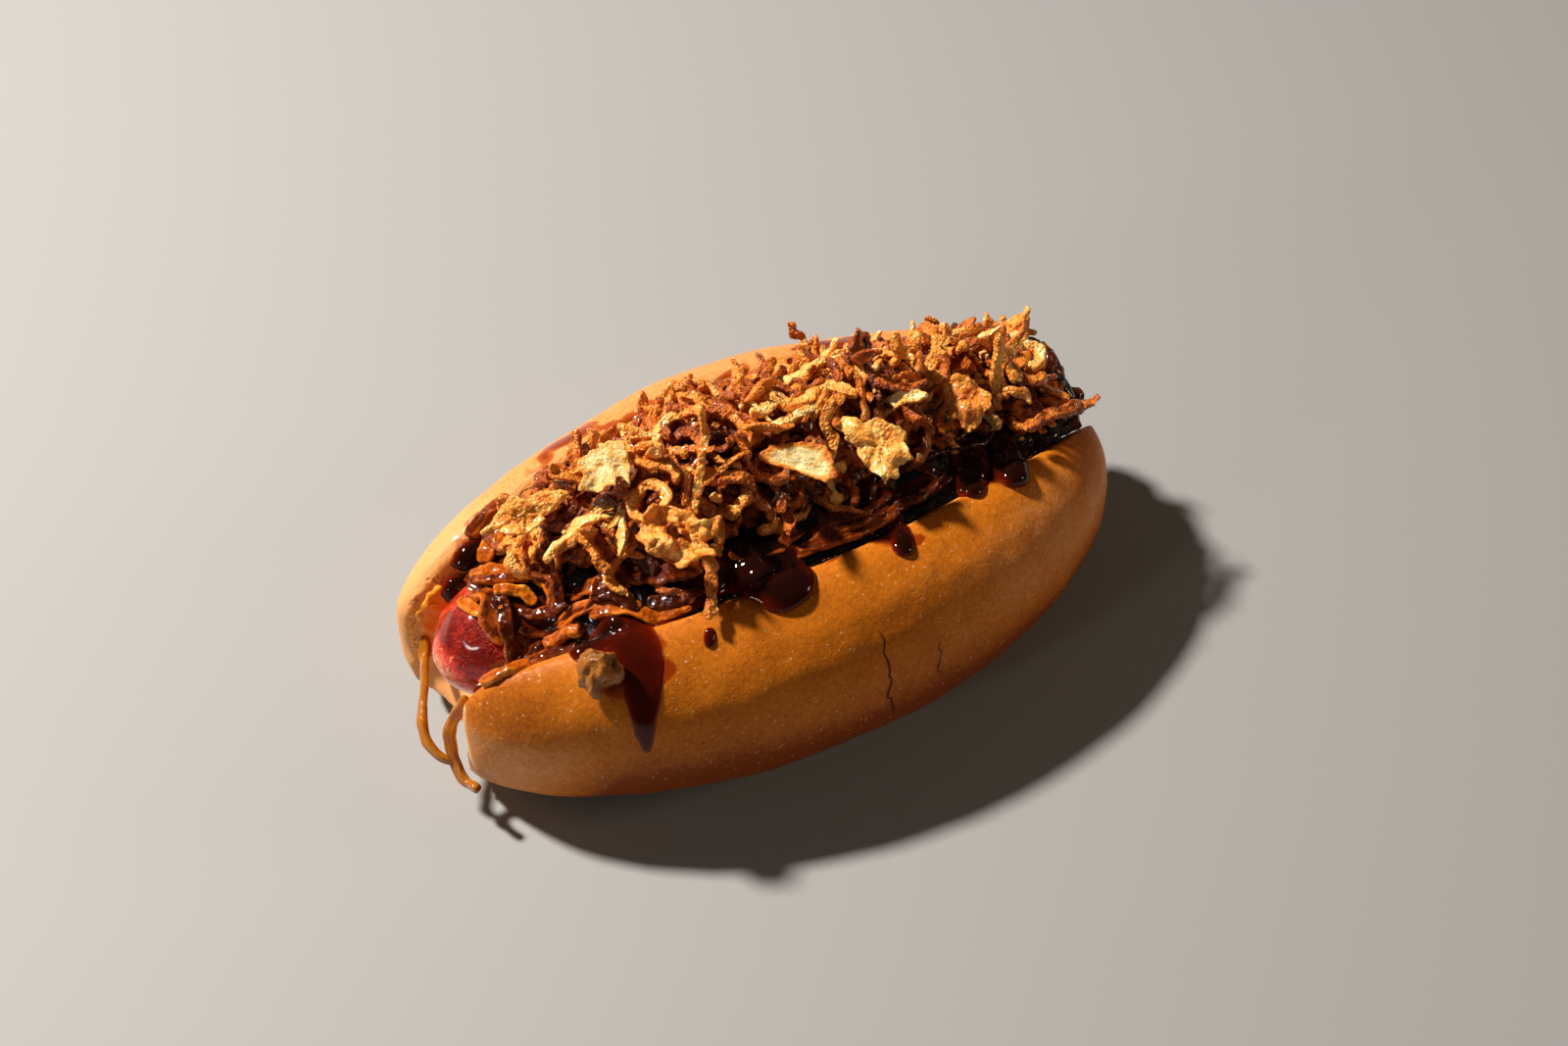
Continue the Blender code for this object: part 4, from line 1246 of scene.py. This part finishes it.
class HOTDOG_OT_crisp_shreds(bpy.types.Operator):
    """Heaps crisp onion shreds of several kinds over the core, with loose crumbs between them"""

    bl_idname = "hotdog.crisp_shreds"
    bl_label = "Crisp shreds"

    def execute(self, context):
        sizes = look("crisp_look")
        rand = random.Random(23)
        fine = {kind: make_shred(kind, True) for kind in SHREDS}
        plain = {kind: make_shred(kind, False) for kind in SHREDS}
        heaped = {group: [] for group in GROUPS}
        group_of = {kind: group for group, kinds in GROUPS.items() for kind, _ in kinds}
        trees = [tree_of(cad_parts["crispy_onions"]), tree_of(made("glazed_bed")), tree_of(made("roll"))]
        for kind, (x, y), lift, turn, lean, roll, size, tone in PLACED:
            place, facing = highest(x * MM, y * MM, trees)
            facing = (facing + UP).normalized()
            piece = set_shred(
                fine[kind], kind, place + UP * lift * MM, facing, turn, lean, roll, size, tone, x + y
            )
            heaped[group_of[kind]].append(piece)
        kinds = [kind for kinds in GROUPS.values() for kind, weight in kinds for _ in range(weight)]
        for shape, depth, part, spacing, lean, shift, small, large in LAYERS:
            kept = fine if shape == "fine" else plain
            for spot, facing in spread_spots("crispy_onions", round(sizes.count * part), spacing * MM, rand, 0.05):
                size = rand.uniform(small, large)
                if depth < TOP_DEPTH and covers_flake(spot):
                    continue
                kind = rand.choice(kinds)
                facing = (facing + 0.7 * UP).normalized()
                tilt = rand.gauss(0, lean)
                sauced = smooth_step(6 * MM, -7 * MM, spot.y)
                gap = 0.22 + 0.16 * smooth_step(22 * MM, 32 * MM, spot.x)
                if shape == "fine" and rand.random() < gap * sauced:
                    continue
                # Deeper layers are darker by their shift, partly as painted shade.
                tone = pick_tone(rand) + shift - (0 if shape == "fine" else 0.2 * sauced)
                # Painted light: shreds towards +X are paler, against the shade on that part of the heap.
                tone += 0.07 * smooth_step(4 * MM, 24 * MM, spot.x)
                low = FAR_RIM_DROP * smooth_step(9 * MM, 20 * MM, spot.y)
                low += FAR_END_DROP * smooth_step(0, 20 * MM, spot.x) * smooth_step(-6 * MM, 8 * MM, spot.y)
                if depth > TOP_DEPTH:
                    low *= 0.4
                place = spot - facing * (depth + low + rand.uniform(-0.6, 0.6)) * MM
                turn, roll = rand.uniform(0, 360), rand.gauss(0, 20)
                heaped[group_of[kind]].append(
                    set_shred(kept[kind], kind, place, facing, turn, tilt, roll, size, tone, rand.uniform(0, 99))
                )
        crisp = crisp_finish("crisp_shred")
        for group, pieces in heaped.items():
            hand_over(joined(group, pieces), crisp, "crisp_onion", crease=CRISP_CREASE)
        self.scatter_crumbs(rand, crisp)
        discard([*fine.values(), *plain.values()])
        return {"FINISHED"}

    def scatter_crumbs(self, rand, crisp):
        crumb = make_crumb()
        crumbs = []
        trees = [tree_of(made(name)) for name in (*GROUPS, "glazed_strips", "laid_strips", "glazed_bed", "roll")]
        for spot, facing in spread_spots("crispy_onions", look("crisp_look").crumbs, 1.6 * MM, rand, 0.1):
            spread = Vector((rand.gauss(0, 1.2), rand.gauss(0, 1.6), 0)) * MM
            place, facing = highest(spot.x + spread.x, spot.y + spread.y, trees)
            if place is None:
                continue
            size, tone = rand.uniform(0.35, 1.0), pick_tone(rand) + 0.05
            angles = [rand.uniform(0, 360) for _ in range(3)]
            crumbs.append(set_shred(crumb, "crumb", place, facing, *angles, size, tone, rand.uniform(0, 99)))
        hand_over(joined("crisp_crumbs", crumbs), crisp, "crisp_onion", crease=CRISP_CREASE)
        discard([crumb])


def covers_flake(spot):
    return any((spot - middle).length < 0.8 * reach + FLAKE_ROOM for middle, reach in flake_spots())


# ---- loose flakes and strands

# Loose flakes: outline in millimetres as seen from the front, then base tone, tone at the rim, wave depth, curl
# and swelling towards the rim, hole in the middle as a share, and gloss.
FLAKE_SHAPES = {
    "flake_pale_square": (
        (
            (-4.9, 1.3), (-3.5, 2.3), (0.0, 3.9), (2.3, 4.8), (3.4, 4.3), (4.3, 1.7), (4.8, -1.7),
            (4.5, -4.2), (3.0, -4.9), (0.6, -4.4), (-1.2, -5.6), (-2.6, -5.0), (-5.4, -5.4), (-4.2, -2.6), (-5.3, 0.0),
        ),
        0.94, 0.84, 0.6, 0.7, 0.2, 0.0, 0.0,
    ),
    "flake_gold_leaf": (
        (
            (-8.5, -4.0), (-6.2, -1.8), (-4.3, 1.4), (-2.5, 3.7), (-0.4, 2.5), (2.9, 4.2), (5.4, 4.7), (9.2, 4.3),
            (7.4, 2.3), (4.4, 0.2), (3.2, -0.4), (4.4, -1.0), (2.2, -2.9), (-0.7, -4.5), (-3.3, -4.4), (-5.1, -3.2), (-6.9, -4.3),
        ),
        0.66, 0.80, 0.9, 1.3, 0.0, 0.0, 0.5,
    ),
    "flake_cream_almond": (
        (
            (-8.8, 1.0), (-6.6, 2.9), (-3.3, 3.8), (1.6, 3.9), (4.4, 3.2), (5.8, 0.7), (6.5, -2.3),
            (5.0, -4.3), (2.3, -3.5), (-2.3, -1.7), (-7.6, -0.2),
        ),
        1.02, 0.52, 0.30, 0.3, 0.4, 0.0, 0.0,
    ),
    "flake_gold_broad": (
        (
            (-5.8, 0.2), (-8.6, 3.4), (-8.2, 5.4), (-5.6, 5.8), (-3.6, 4.2), (-0.6, 5.0), (1.5, 4.2), (5.0, 3.1), (4.8, 0.0),
            (6.4, -3.1), (3.8, -3.8), (3.2, -6.2), (0.8, -8.0), (-1.5, -5.8), (-3.8, -3.1), (-4.6, -1.0),
        ),
        0.74, 0.86, 1.5, 1.2, 0.0, 0.0, 0.1,
    ),
    "flake_olive_leaf": (
        (
            (-3.8, 4.6), (-1.6, 5.2), (1.1, 3.5), (4.2, 0.8), (4.3, -1.4), (2.4, -3.9), (0.6, -7.0),
            (-0.6, -7.0), (-1.9, -5.2), (-4.6, -3.3), (-4.1, 0.0),
        ),
        0.56, 0.70, 1.2, 1.4, 0.0, 0.0, 0.4,
    ),
    "flake_gold_curl": (
        (
            (-6.4, 1.2), (-5.6, 4.2), (-2.6, 5.2), (0.6, 4.4), (3.4, 3.6), (5.0, 1.4), (8.6, 3.2), (8.2, -0.6), (5.4, -1.6),
            (8.4, -4.4), (3.6, -5.4), (0.6, -7.2), (-2.0, -5.0), (-4.4, -4.2), (-6.8, -1.6),
        ),
        0.72, 0.66, 2.6, 2.4, 0.0, 0.22, 0.1,
    ),
}
# Directions of a flake that lies turned towards the front: to its right, and the way it faces.
FLAKE_RIGHT = Vector((0.861, -0.507, 0.0))
FLAKE_FACING = Vector((-0.26, -0.46, 0.85)).normalized()
SHEET_ROUND = 60
RAW_TONE = 0.85
SHEET_RINGS = 9


def sheet(name, outline, hole, wave, curl, swell, seed, thickness):
    """A torn thin sheet: rings drawn in from an outline, waved, curled at the rim and thickened."""
    deselect()
    bpy.ops.mesh.primitive_grid_add(x_subdivisions=SHEET_ROUND, y_subdivisions=SHEET_RINGS, size=2)
    piece = named(bpy.context.object, name)
    ring = Line([Vector((x, y, 0)) for x, y in (*outline, outline[0])], [UP] * (len(outline) + 1))
    spots, reach = [], []
    for vert in piece.data.vertices:
        u, r = (vert.co.x + 1) / 2, (vert.co.y + 1) / 2
        rim, _, _ = ring.at(u if u < 1 else 0)
        rim = rim * (1 + 0.16 * noise.noise(rim * 0.9 + Vector((0, 0, seed))) + 0.10 * noise.noise(rim * 2.3))
        r = hole + (1 - hole) * r
        flat = rim * r
        height = wave * noise.noise(flat * 0.26 + Vector((seed, 0, 0))) + 0.5 * wave * noise.noise(flat * 0.7)
        height += curl * r**3 * noise.noise(rim.normalized() * 1.1 + Vector((0, 0, seed)))
        height += 0.3 * wave * noise.noise(flat * 1.7) + swell * float(smooth_step(0.5, 1.0, r))
        spots.append((flat + UP * height) * MM)
        reach.append(r)
    set_places(piece, spots)
    paint(piece, "reach", reach)
    paint_grain(piece, np.array(spots) / MM)
    edit_all(piece)
    bpy.ops.mesh.remove_doubles(threshold=0.02 * MM)
    piece = edited(name)
    modify(piece, "SOLIDIFY", thickness=thickness, offset=0)
    modify(piece, "SUBSURF", levels=1, render_levels=1)
    edit_all(piece)
    bpy.ops.mesh.normals_make_consistent(inside=False)
    return edited(name)


def kept_numbers(piece, name):
    held = np.empty(len(piece.data.vertices), np.float32)
    piece.data.attributes[name].data.foreach_get("value", held)
    return held


class HOTDOG_OT_flakes(bpy.types.Operator):
    """Makes the six large loose flakes on top of the heap"""

    bl_idname = "hotdog.flakes"
    bl_label = "Loose flakes"

    def execute(self, context):
        back = FLAKE_FACING.cross(FLAKE_RIGHT)
        for number, (node, (outline, tone, rim, wave, curl, swell, hole, gloss)) in enumerate(FLAKE_SHAPES.items()):
            flake = sheet(node + "_fried", outline, hole, wave, curl, swell, 5.0 + number, 0.6 * MM)
            reach = kept_numbers(flake, "reach")
            low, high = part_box(node)
            spots = places(flake)
            blotch = np.array([uneven(spot, 2.2 * MM, 31.0 + number) for spot in spots])
            tones = tone + (rim - tone) * smooth_step(0.60, 0.95, reach + 0.25 * blotch)
            if hole:
                tones -= 0.3 * (1 - smooth_step(hole, hole + 0.25, reach + 0.2 * blotch))
            paint(flake, "tone", tones)
            paint(flake, "edge", 0.6 * smooth_step(0.86, 1.0, reach))
            laid = Matrix((FLAKE_RIGHT, back, FLAKE_FACING)).transposed().to_4x4()
            middle = (low + high) / 2 + FLAKE_FACING * 1.0 * MM
            flake.data.transform(Matrix.Translation(middle) @ laid)
            raw = tone > RAW_TONE
            roughen(flake, 1.8 * MM, (0.18 if raw else 0.34) * MM, 21.0 + number)
            roughen(flake, 0.7 * MM, (0.08 if raw else 0.22) * MM, 41.0 + number)
            finish = crisp_finish(f"{node}_finish", pits=0.12 if raw else 0.4, gloss=gloss)
            hand_over(flake, finish, "pale_flake", node)
        return {"FINISHED"}


# The two soft strands that hang from the roll's end: points, width and thickness in millimetres.
AMBER_STRANDS = {
    "strand_looped": (
        (
            (-66.8, 17.6, 21.0),
            (-68.6, 14.6, 18.5),
            (-71.6, 8.4, 18.2),
            (-74.0, 3.8, 18.0),
            (-76.0, -0.2, 17.2),
            (-76.3, -3.4, 15.4),
            (-75.3, -6.2, 13.9),
            (-73.2, -8.4, 12.9),
        ),
        2.3,
        1.5,
    ),
    "strand_hanging": (
        (
            (-67.6, -4.2, 26.4),
            (-68.6, -4.8, 24.6),
            (-70.4, -4.2, 21.2),
            (-72.2, -5.2, 18.2),
            (-73.0, -7.2, 14.6),
            (-73.2, -9.6, 11.4),
            (-72.6, -12.6, 10.6),
            (-71.6, -15.4, 12.0),
        ),
        2.6,
        1.6,
    ),
}

# The loose fried strips: points, up, width and thickness in millimetres, tone and slot.
CRISP_STRANDS = {
    "strip_draped": (
        ((-19.5, -14.5, 50.8), (-20.3, -18.0, 50.4), (-21.4, -21.0, 49.2), (-23.3, -23.6, 48.0), (-25.4, -26.2, 46.6)),
        (-0.1, -0.6, 0.8), 2.6, 1.1, 0.60, "pale_flake",
    ),
    "strip_resting": (
        ((-39.5, -1.2, 55.4), (-39.0, -3.8, 54.2), (-38.2, -6.8, 52.4), (-37.4, -9.4, 50.2)),
        (-0.5, -0.4, 1.0), 2.4, 1.3, 0.62, "pale_flake",
    ),
    "stick_standing": (
        ((23.4, 20.0, 53.0), (23.0, 21.0, 55.2), (22.4, 22.0, 57.4), (21.4, 23.0, 59.6)),
        (-0.4, -0.8, 0.3), 2.2, 1.3, 0.50, "crisp_onion",
    ),
    "strand_far_end": (
        ((53.0, -15.8, 47.0), (60.0, -15.0, 46.6), (67.0, -14.0, 44.4), (72.5, -12.6, 41.8), (74.6, -12.4, 43.0)),
        (0.0, -0.3, 1.0), 2.6, 1.4, 0.50, "crisp_onion",
    ),
}


# How far the lump's foot is drawn down onto the rim under it.
LUMP_FOOT = 2.6 * MM


class HOTDOG_OT_strands(bpy.types.Operator):
    """Makes the hanging amber strands, the draped and resting strips, the sticks and the soft lump"""

    bl_idname = "hotdog.strands"
    bl_label = "Strands and lump"

    def execute(self, context):
        amber = amber_finish("amber_strand", (0.34, 0.075, 0.003), (0.52, 0.17, 0.010), (0.68, 0.32, 0.045))
        for number, (node, (points, width, thickness)) in enumerate(AMBER_STRANDS.items()):
            spots = [Vector(point) * MM for point in points]
            line = Line(spots, [Vector((-0.7, -0.7, 0.1))] * len(spots), steps=6)
            strand = strip(node + "_soft", line, width * MM, thickness * MM, 3.0 + number, 0.2, 6.0, steps=30, levels=2)
            roughen(strand, 3 * MM, 0.3 * MM, 2.0)
            hand_over(strand, amber, "amber_strand", node)
        crisp = crisp_finish("crisp_strip")
        for number, (node, (points, up, width, thickness, tone, slot)) in enumerate(CRISP_STRANDS.items()):
            spots = [Vector(point) * MM for point in points]
            ups = [Matrix.Rotation(0.5 * (k - 1.5), 3, "Z") @ Vector(up) for k in range(len(spots))]
            line = Line(spots, ups, steps=6)
            piece = strip(node + "_fried", line, width * MM, thickness * MM, 3.0 + number, 0.45, 3.0, 0.1, 26, 5)
            rumple(piece, 3.0 * MM, 1.0 * MM, 3.0 + number)
            roughen(piece, 1.3 * MM, 0.36 * MM, 7.0 + number)
            roughen(piece, 0.6 * MM, 0.22 * MM, 9.0 + number)
            count = len(piece.data.vertices)
            paint(piece, "tone", np.full(count, tone))
            hand_over(piece, crisp, slot, node, crease=CRISP_CREASE)
        self.make_lump()
        return {"FINISHED"}

    def make_lump(self):
        lump = solid_copy("onion_lump", "onion_lump_glazed")
        modify(lump, "SUBSURF", levels=3, render_levels=3)
        rumple(lump, 3.6 * MM, 1.0 * MM, 5.0)
        roughen(lump, 2.6 * MM, 1.4 * MM, 5.0)
        roughen(lump, 1.0 * MM, 0.4 * MM, 9.0)
        spots = places(lump)
        low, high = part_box("onion_lump")
        spots[:, 2] -= LUMP_FOOT * smooth_step(high.z, low.z, spots[:, 2])
        set_places(lump, spots)
        rise = (spots[:, 2] - low.z) / (high.z - low.z)
        paint(lump, "tone", 0.34 + 0.36 * rise)
        paint_grain(lump, spots / MM)
        soft = amber_finish("glazed_lump", (0.10, 0.022, 0.002), (0.34, 0.115, 0.014), (0.82, 0.48, 0.14), through=0.0)
        hand_over(lump, soft, "amber_strand", "onion_lump")


# ---- sauce


def near_wall_spot(along, down, trees):
    """A place on the -Y wall, at a distance along it and round it from straight above its core."""
    y, z = NEAR_WALL_CORE
    turn = down * MM / UNROLL_RADIUS
    out = Vector((0, -math.sin(turn), math.cos(turn)))
    return first_hit(Vector((along * MM, y, z)) + out * REACH, out, trees)


def far_cut_spot(along, height, trees):
    """A place on the cut side of the +Y wall, met from over the sausage."""
    out = Vector((0, -0.75, 0.66))
    return first_hit(Vector((along, CUT_SIDE_Y, height)) * MM + out * CUT_SIDE_REACH, out, trees)


def first_hit(start, out, trees):
    found = [tree.ray_cast(start, -out)[:2] for tree in trees]
    found = [hit for hit in found if hit[0]]
    place, facing = min(found, key=lambda hit: (hit[0] - start).length)
    return place, (0.5 * facing + 0.5 * out).normalized()


# Runs and drops of sauce: where each lies, then (along, down, half width, thickness) down its length.
RUNS = {
    "drip_long": (
        near_wall_spot,
        (
            (-39.0, -9.0, 5.0, 0.8),
            (-39.4, -2.0, 6.2, 0.8),
            (-39.8, 6.0, 5.0, 0.7),
            (-41.4, 13.0, 3.5, 0.55),
            (-42.8, 20.0, 2.3, 0.5),
            (-43.4, 26.0, 1.4, 0.55),
            (-43.7, 30.5, 0.9, 0.6),
        ),
    ),
    "pool": (
        near_wall_spot,
        ((-11.5, -11.0, 5.5, 1.0), (-10.2, -4.0, 8.2, 1.6), (-9.0, 2.0, 7.6, 2.2), (-7.8, 10.5, 5.6, 2.6)),
    ),
    "drop_large": (
        near_wall_spot,
        ((51.0, -11.0, 3.0, 1.0), (49.0, -5.0, 3.6, 1.8), (47.2, 0.5, 3.8, 2.4), (45.8, 5.6, 3.4, 2.9)),
    ),
    "drop_middle": (
        near_wall_spot,
        ((43.5, -10.0, 3.0, 1.0), (40.6, -5.0, 3.8, 1.5), (37.8, 0.0, 3.4, 1.8), (35.2, 3.8, 2.7, 2.0)),
    ),
    "drop_small": (
        near_wall_spot,
        ((19.6, -2.0, 1.4, 0.5), (18.6, 3.0, 1.9, 0.7), (17.2, 6.6, 2.5, 1.3), (15.8, 10.2, 2.3, 1.7)),
    ),
    "bead": (near_wall_spot, ((-25.0, 6.2, 1.0, 0.5), (-26.0, 8.2, 1.2, 0.8), (-26.8, 9.8, 0.9, 0.7))),
    "blob_lower": (far_cut_spot, ((-59.8, 26.0, 2.2, 2.2), (-58.8, 29.4, 3.2, 3.2), (-57.6, 32.6, 2.4, 2.4))),
    "blob_upper": (far_cut_spot, ((-57.4, 34.0, 2.4, 2.8), (-54.2, 36.4, 3.4, 3.4), (-50.6, 38.4, 2.8, 2.6))),
}
RIM_RUNS = {
    "rim_film_a": ((-34.0, -1.0, 2.0, 0.8), (-27.0, -2.2, 2.8, 1.0), (-18.0, -2.4, 2.8, 1.1), (-12.0, -2.0, 2.0, 0.9)),
    "rim_film_b": ((2.0, -2.0, 2.2, 0.8), (12.0, -1.8, 2.6, 1.0), (22.0, -2.6, 2.6, 1.0), (34.0, -3.6, 2.0, 0.8)),
    "rim_film_c": ((-50.0, -3.0, 2.6, 0.8), (-44.0, -4.0, 4.0, 1.2), (-37.0, -4.0, 3.4, 1.0)),
}
GLAZE = ((-58.6, 30.5, 3.6, 0.8), (-61.8, 26.0, 5.4, 1.2), (-64.6, 20.5, 4.4, 1.2), (-67.0, 13.0, 2.2, 1.2))


def laid_run(name, spine, spot, trees, sink, rings=44, sides=28):
    """A rounded bead of sauce laid down a spine on the surface that spot finds."""
    deselect()
    bpy.ops.mesh.primitive_uv_sphere_add(segments=sides, ring_count=rings, radius=1)
    run = named(bpy.context.object, name)
    line = Line.rounded([Vector((a, d, 0)) for a, d, _, _ in spine], 8)
    sizes = Line.rounded([Vector((w, t, 0)) for _, _, w, t in spine], 8)
    last = len(line) - 1
    spots, thin = [], []
    for vert in run.data.vertices:
        s = math.acos(max(-1, min(1, vert.co.z))) / math.pi
        i = min(int(s * last), last - 1)
        t = s * last - i
        here, (half, thick, _) = line[i].lerp(line[i + 1], t), sizes[i].lerp(sizes[i + 1], t)
        heading = (line[i + 1] - line[i]).normalized()
        side = Vector((-heading.y, heading.x, 0))
        cap = (1 - abs(2 * s - 1) ** 5) ** 0.5
        turn = math.atan2(vert.co.y, vert.co.x)
        wobble = 1 + 0.10 * noise.noise(Vector((s * 6, math.copysign(2, math.cos(turn)), half)))
        reach = here + side * half * cap * math.cos(turn) * wobble
        place, facing = spot(reach.x, reach.y, trees)
        lift = math.sin(turn)
        height = thick * MM * cap * lift if lift > 0 else sink * cap * lift
        spots.append(place + facing * height)
        thin.append(1 - max(lift, 0) * cap * min(1, 0.35 + 0.35 * thick))
    set_places(run, spots)
    paint(run, "thin", thin)
    edit_all(run)
    bpy.ops.mesh.normals_make_consistent(inside=False)
    run = edited(name)
    modify(run, "SMOOTH", factor=0.5, iterations=4)
    return run


class HOTDOG_OT_sauce(bpy.types.Operator):
    """Lays the runs, drops and pools of sauce, and the clear glaze at the sausage's end"""

    bl_idname = "hotdog.sauce"
    bl_label = "Sauce"

    def execute(self, context):
        sink = look("sauce_look").sink
        roll = [tree_of(made("roll"))]
        both = [*roll, tree_of(made("glazed_bed"))]
        sauce = sauce_finish()
        for name, (spot, spine) in RUNS.items():
            run = laid_run(f"sauce_{name}", spine, spot, both if spot is near_wall_spot else roll, sink)
            hand_over(run, sauce, "caramelised_onion")
        for name, spine in RIM_RUNS.items():
            hand_over(laid_run(name, spine, near_wall_spot, both, sink), sauce, "caramelised_onion")
        glaze = laid_run("clear_glaze", GLAZE, far_cut_spot, roll, sink)
        roughen(glaze, 1.6 * MM, 0.8 * MM, 3.0)
        paint_grain(glaze, places(glaze) / MM)
        clear = amber_finish("clear_glaze", (0.82, 0.22, 0.012), (0.92, 0.32, 0.024), (0.97, 0.42, 0.06), through=0.0)
        hand_over(glaze, clear, "amber_strand")
        return {"FINISHED"}


# ---- stage


def aim(thing, place, target):
    thing.location = place
    thing.rotation_mode = "QUATERNION"
    thing.rotation_quaternion = (Vector(target) - Vector(place)).to_track_quat("-Z", "Y")


def add_light(name, place, target, size, power, shade):
    deselect()
    bpy.ops.object.light_add(type="AREA")
    light = bpy.context.object
    light.name = name
    light.data.shape = "DISK"
    light.data.size = size
    light.data.energy = power
    light.data.color = shade
    aim(light, Vector(place), target)


class HOTDOG_OT_stage(bpy.types.Operator):
    """Sets out the pale floor, the soft lights and the camera"""

    bl_idname = "hotdog.stage"
    bl_label = "Stage"

    def execute(self, context):
        sizes = look("stage_look")
        deselect()
        bpy.ops.mesh.primitive_plane_add(size=sizes.floor_size)
        floor = named(bpy.context.object, "floor")
        floor.data.materials.append(floor_finish())
        back = Vector(
            (
                math.sin(sizes.turn) * math.cos(sizes.rise),
                -math.cos(sizes.turn) * math.cos(sizes.rise),
                math.sin(sizes.rise),
            )
        )
        target = Vector((19.31, 22.06, 0)) * MM
        bpy.ops.object.camera_add()
        camera = named(bpy.context.object, "camera")
        camera.data.lens = sizes.lens
        camera.data.sensor_width = 36
        camera.data.clip_start = 0.01
        aim(camera, target + back * sizes.camera_distance, target)
        context.scene.camera = camera
        middle = (0, 0, 25 * MM)
        add_light("key", (-0.43, 0.55, 0.90), middle, 0.10, 24, (1.0, 0.95, 0.88))
        add_light("fill", (-1.0, -0.25, 0.40), middle, 0.14, 1.0, (1.0, 0.96, 0.90))
        add_light("bounce", (0.90, -0.50, 0.42), middle, 0.26, 1.7, (1.0, 0.76, 0.45))
        world = bpy.data.worlds.new("studio")
        world.use_nodes = True
        world.node_tree.nodes["Background"].inputs["Color"].default_value = (1.0, 0.98, 0.95, 1)
        world.node_tree.nodes["Background"].inputs["Strength"].default_value = 0.035
        context.scene.world = world
        context.scene.view_settings.view_transform = "Standard"
        return {"FINISHED"}


# ---- panel and running order

OPERATORS = (
    HOTDOG_OT_stage,
    HOTDOG_OT_roll,
    HOTDOG_OT_sausage,
    HOTDOG_OT_glazed_bed,
    HOTDOG_OT_glazed_strips,
    HOTDOG_OT_crisp_core,
    HOTDOG_OT_crisp_shreds,
    HOTDOG_OT_flakes,
    HOTDOG_OT_strands,
    HOTDOG_OT_sauce,
)


class HOTDOG_PT_parts(bpy.types.Panel):
    """Lists the pieces and their settings"""

    bl_idname = "HOTDOG_PT_parts"
    bl_label = "Hot dog"
    bl_space_type = "VIEW_3D"
    bl_region_type = "UI"
    bl_category = "Hot dog"

    def draw(self, context):
        for operator in OPERATORS:
            self.layout.operator(operator.bl_idname)
        for name, group in SETTINGS.items():
            box = self.layout.box()
            for key in group.__annotations__:
                box.prop(getattr(context.scene, name), key)


def register():
    noise.seed_set(NOISE_SEED)
    for part in (*SETTINGS.values(), *OPERATORS, HOTDOG_PT_parts):
        bpy.utils.register_class(part)
    for name, group in SETTINGS.items():
        setattr(bpy.types.Scene, name, PointerProperty(type=group))


def unregister():
    for name in SETTINGS:
        delattr(bpy.types.Scene, name)
    for part in reversed((*SETTINGS.values(), *OPERATORS, HOTDOG_PT_parts)):
        bpy.utils.unregister_class(part)


def main():
    register()
    for operator in OPERATORS:
        family, name = operator.bl_idname.split(".")
        getattr(getattr(bpy.ops, family), name)()


if __name__ == "__main__":
    main()
